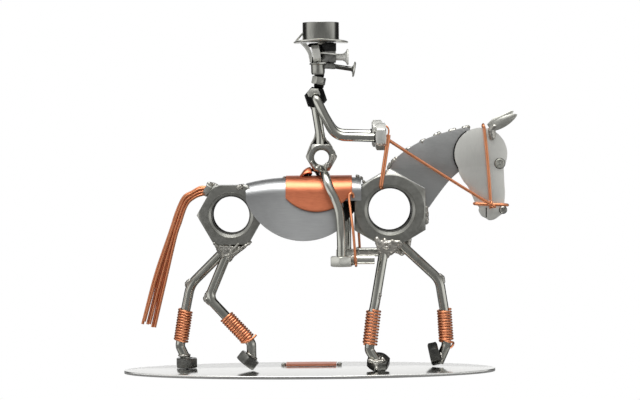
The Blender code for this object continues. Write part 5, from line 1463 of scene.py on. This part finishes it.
# The walls' brightness, from behind the camera (0) round to behind the object (1)
WALLS = ((0.0, 0.27), (0.10, 0.29), (0.19, 1.25), (0.50, 1.25), (0.60, 0.03), (1.0, 0.03))
# The ceiling's, from level (0) up to the middle of a big softbox (1)
SOFTBOX_DIRECTION = (0, -0.26, 0.966)
CEILING = ((0.30, 0.28), (0.50, 0.32), (0.73, 0.42), (0.86, 1.3), (0.95, 2.8))


def make_world():
    """A white studio whose walls have dark gaps, which give the rods their dark lines."""
    world = bpy.data.worlds.new("studio")
    bpy.context.scene.world = world
    world.use_nodes = True
    tree = world.node_tree
    tree.nodes.clear()
    where = add(tree, "ShaderNodeTexCoord").outputs["Generated"]
    parts = add(tree, "ShaderNodeSeparateXYZ", {"Vector": where})
    minus = add(tree, "ShaderNodeMath", {0: parts.outputs["Y"], 1: -1.0}, operation="MULTIPLY")
    angle = add(tree, "ShaderNodeMath", {0: parts.outputs["X"], 1: minus.outputs[0]},
                operation="ARCTAN2")
    size = add(tree, "ShaderNodeMath", {0: angle.outputs[0]}, operation="ABSOLUTE")
    share = add(tree, "ShaderNodeMath", {0: size.outputs[0], 1: math.pi}, operation="DIVIDE")
    walls = brightness(tree, share, WALLS)
    behind = add(tree, "ShaderNodeMapRange", {"Value": share.outputs[0]}, From_Min=0.84,
                 From_Max=0.90)
    level = add(tree, "ShaderNodeMapRange", {"Value": parts.outputs["Z"]}, From_Min=0.60,
                From_Max=0.45)
    strip = add(tree, "ShaderNodeMath", {0: behind.outputs["Result"], 1: level.outputs["Result"]},
                operation="MULTIPLY")
    backed = mixed(tree, strip.outputs[0], walls.outputs["Color"], WHITE)
    towards = add(tree, "ShaderNodeVectorMath", {0: where, 1: SOFTBOX_DIRECTION},
                  operation="DOT_PRODUCT")
    cap = brightness(tree, towards, CEILING)
    back = add(tree, "ShaderNodeMapRange", {"Value": parts.outputs["Y"]}, From_Min=0.15,
               From_Max=0.45, To_Min=1.0, To_Max=0.12)
    shaded = add(tree, "ShaderNodeVectorMath",
                 {0: cap.outputs["Color"], "Scale": back.outputs["Result"]}, operation="SCALE")
    height = add(tree, "ShaderNodeMapRange", {"Value": towards.outputs["Value"]}, From_Min=0.20,
                 From_Max=0.45)
    dome = mixed(tree, height.outputs["Result"], backed, shaded.outputs["Vector"])
    seen = add(tree, "ShaderNodeLightPath")
    shown = mixed(tree, seen.outputs["Is Camera Ray"], dome, WHITE)
    light = add(tree, "ShaderNodeBackground", {"Color": shown, "Strength": 1.0})
    add(tree, "ShaderNodeOutputWorld", {"Surface": light.outputs["Background"]})


def make_lights():
    for name, place, size, power in (("top_softbox", (-0.1, -0.35, 1.3), 0.8, 8.0),
                                     ("left_softbox", (-1.2, -0.5, 1.2), 1.2, 3.0)):
        data = bpy.data.lights.new(name, "AREA")
        data.size = size
        data.energy = power
        lamp = bpy.data.objects.new(name, data)
        bpy.context.scene.collection.objects.link(lamp)
        lamp.location = place
        aim = mm(0, 0, 110) - lamp.location
        lamp.rotation_euler = aim.to_track_quat("-Z", "Y").to_euler()


def make_camera():
    """A 113 mm lens 1.3 m in front, level with the horse's back, two degrees down."""
    data = bpy.data.cameras.new("camera")
    data.lens = 113.4
    data.sensor_width = 36.0
    camera = bpy.data.objects.new("camera", data)
    bpy.context.scene.collection.objects.link(camera)
    yaw, pitch, roll = (math.radians(a) for a in (-0.41, 2.00, -0.48))
    forward = Vector((math.sin(yaw) * math.cos(pitch), math.cos(yaw) * math.cos(pitch),
                      -math.sin(pitch)))
    right = Vector((math.cos(yaw), -math.sin(yaw), 0))
    up = right.cross(forward)
    across = right * math.cos(roll) + up * math.sin(roll)
    upright = up * math.cos(roll) - right * math.sin(roll)
    rotation = Matrix((across, upright, -forward)).transposed()
    camera.matrix_world = Matrix.Translation((0.0169, -1.300, 0.1566)) @ rotation.to_4x4()
    bpy.context.scene.camera = camera


make_floor()
make_world()
make_lights()
make_camera()
bpy.context.scene.view_settings.view_transform = "Standard"
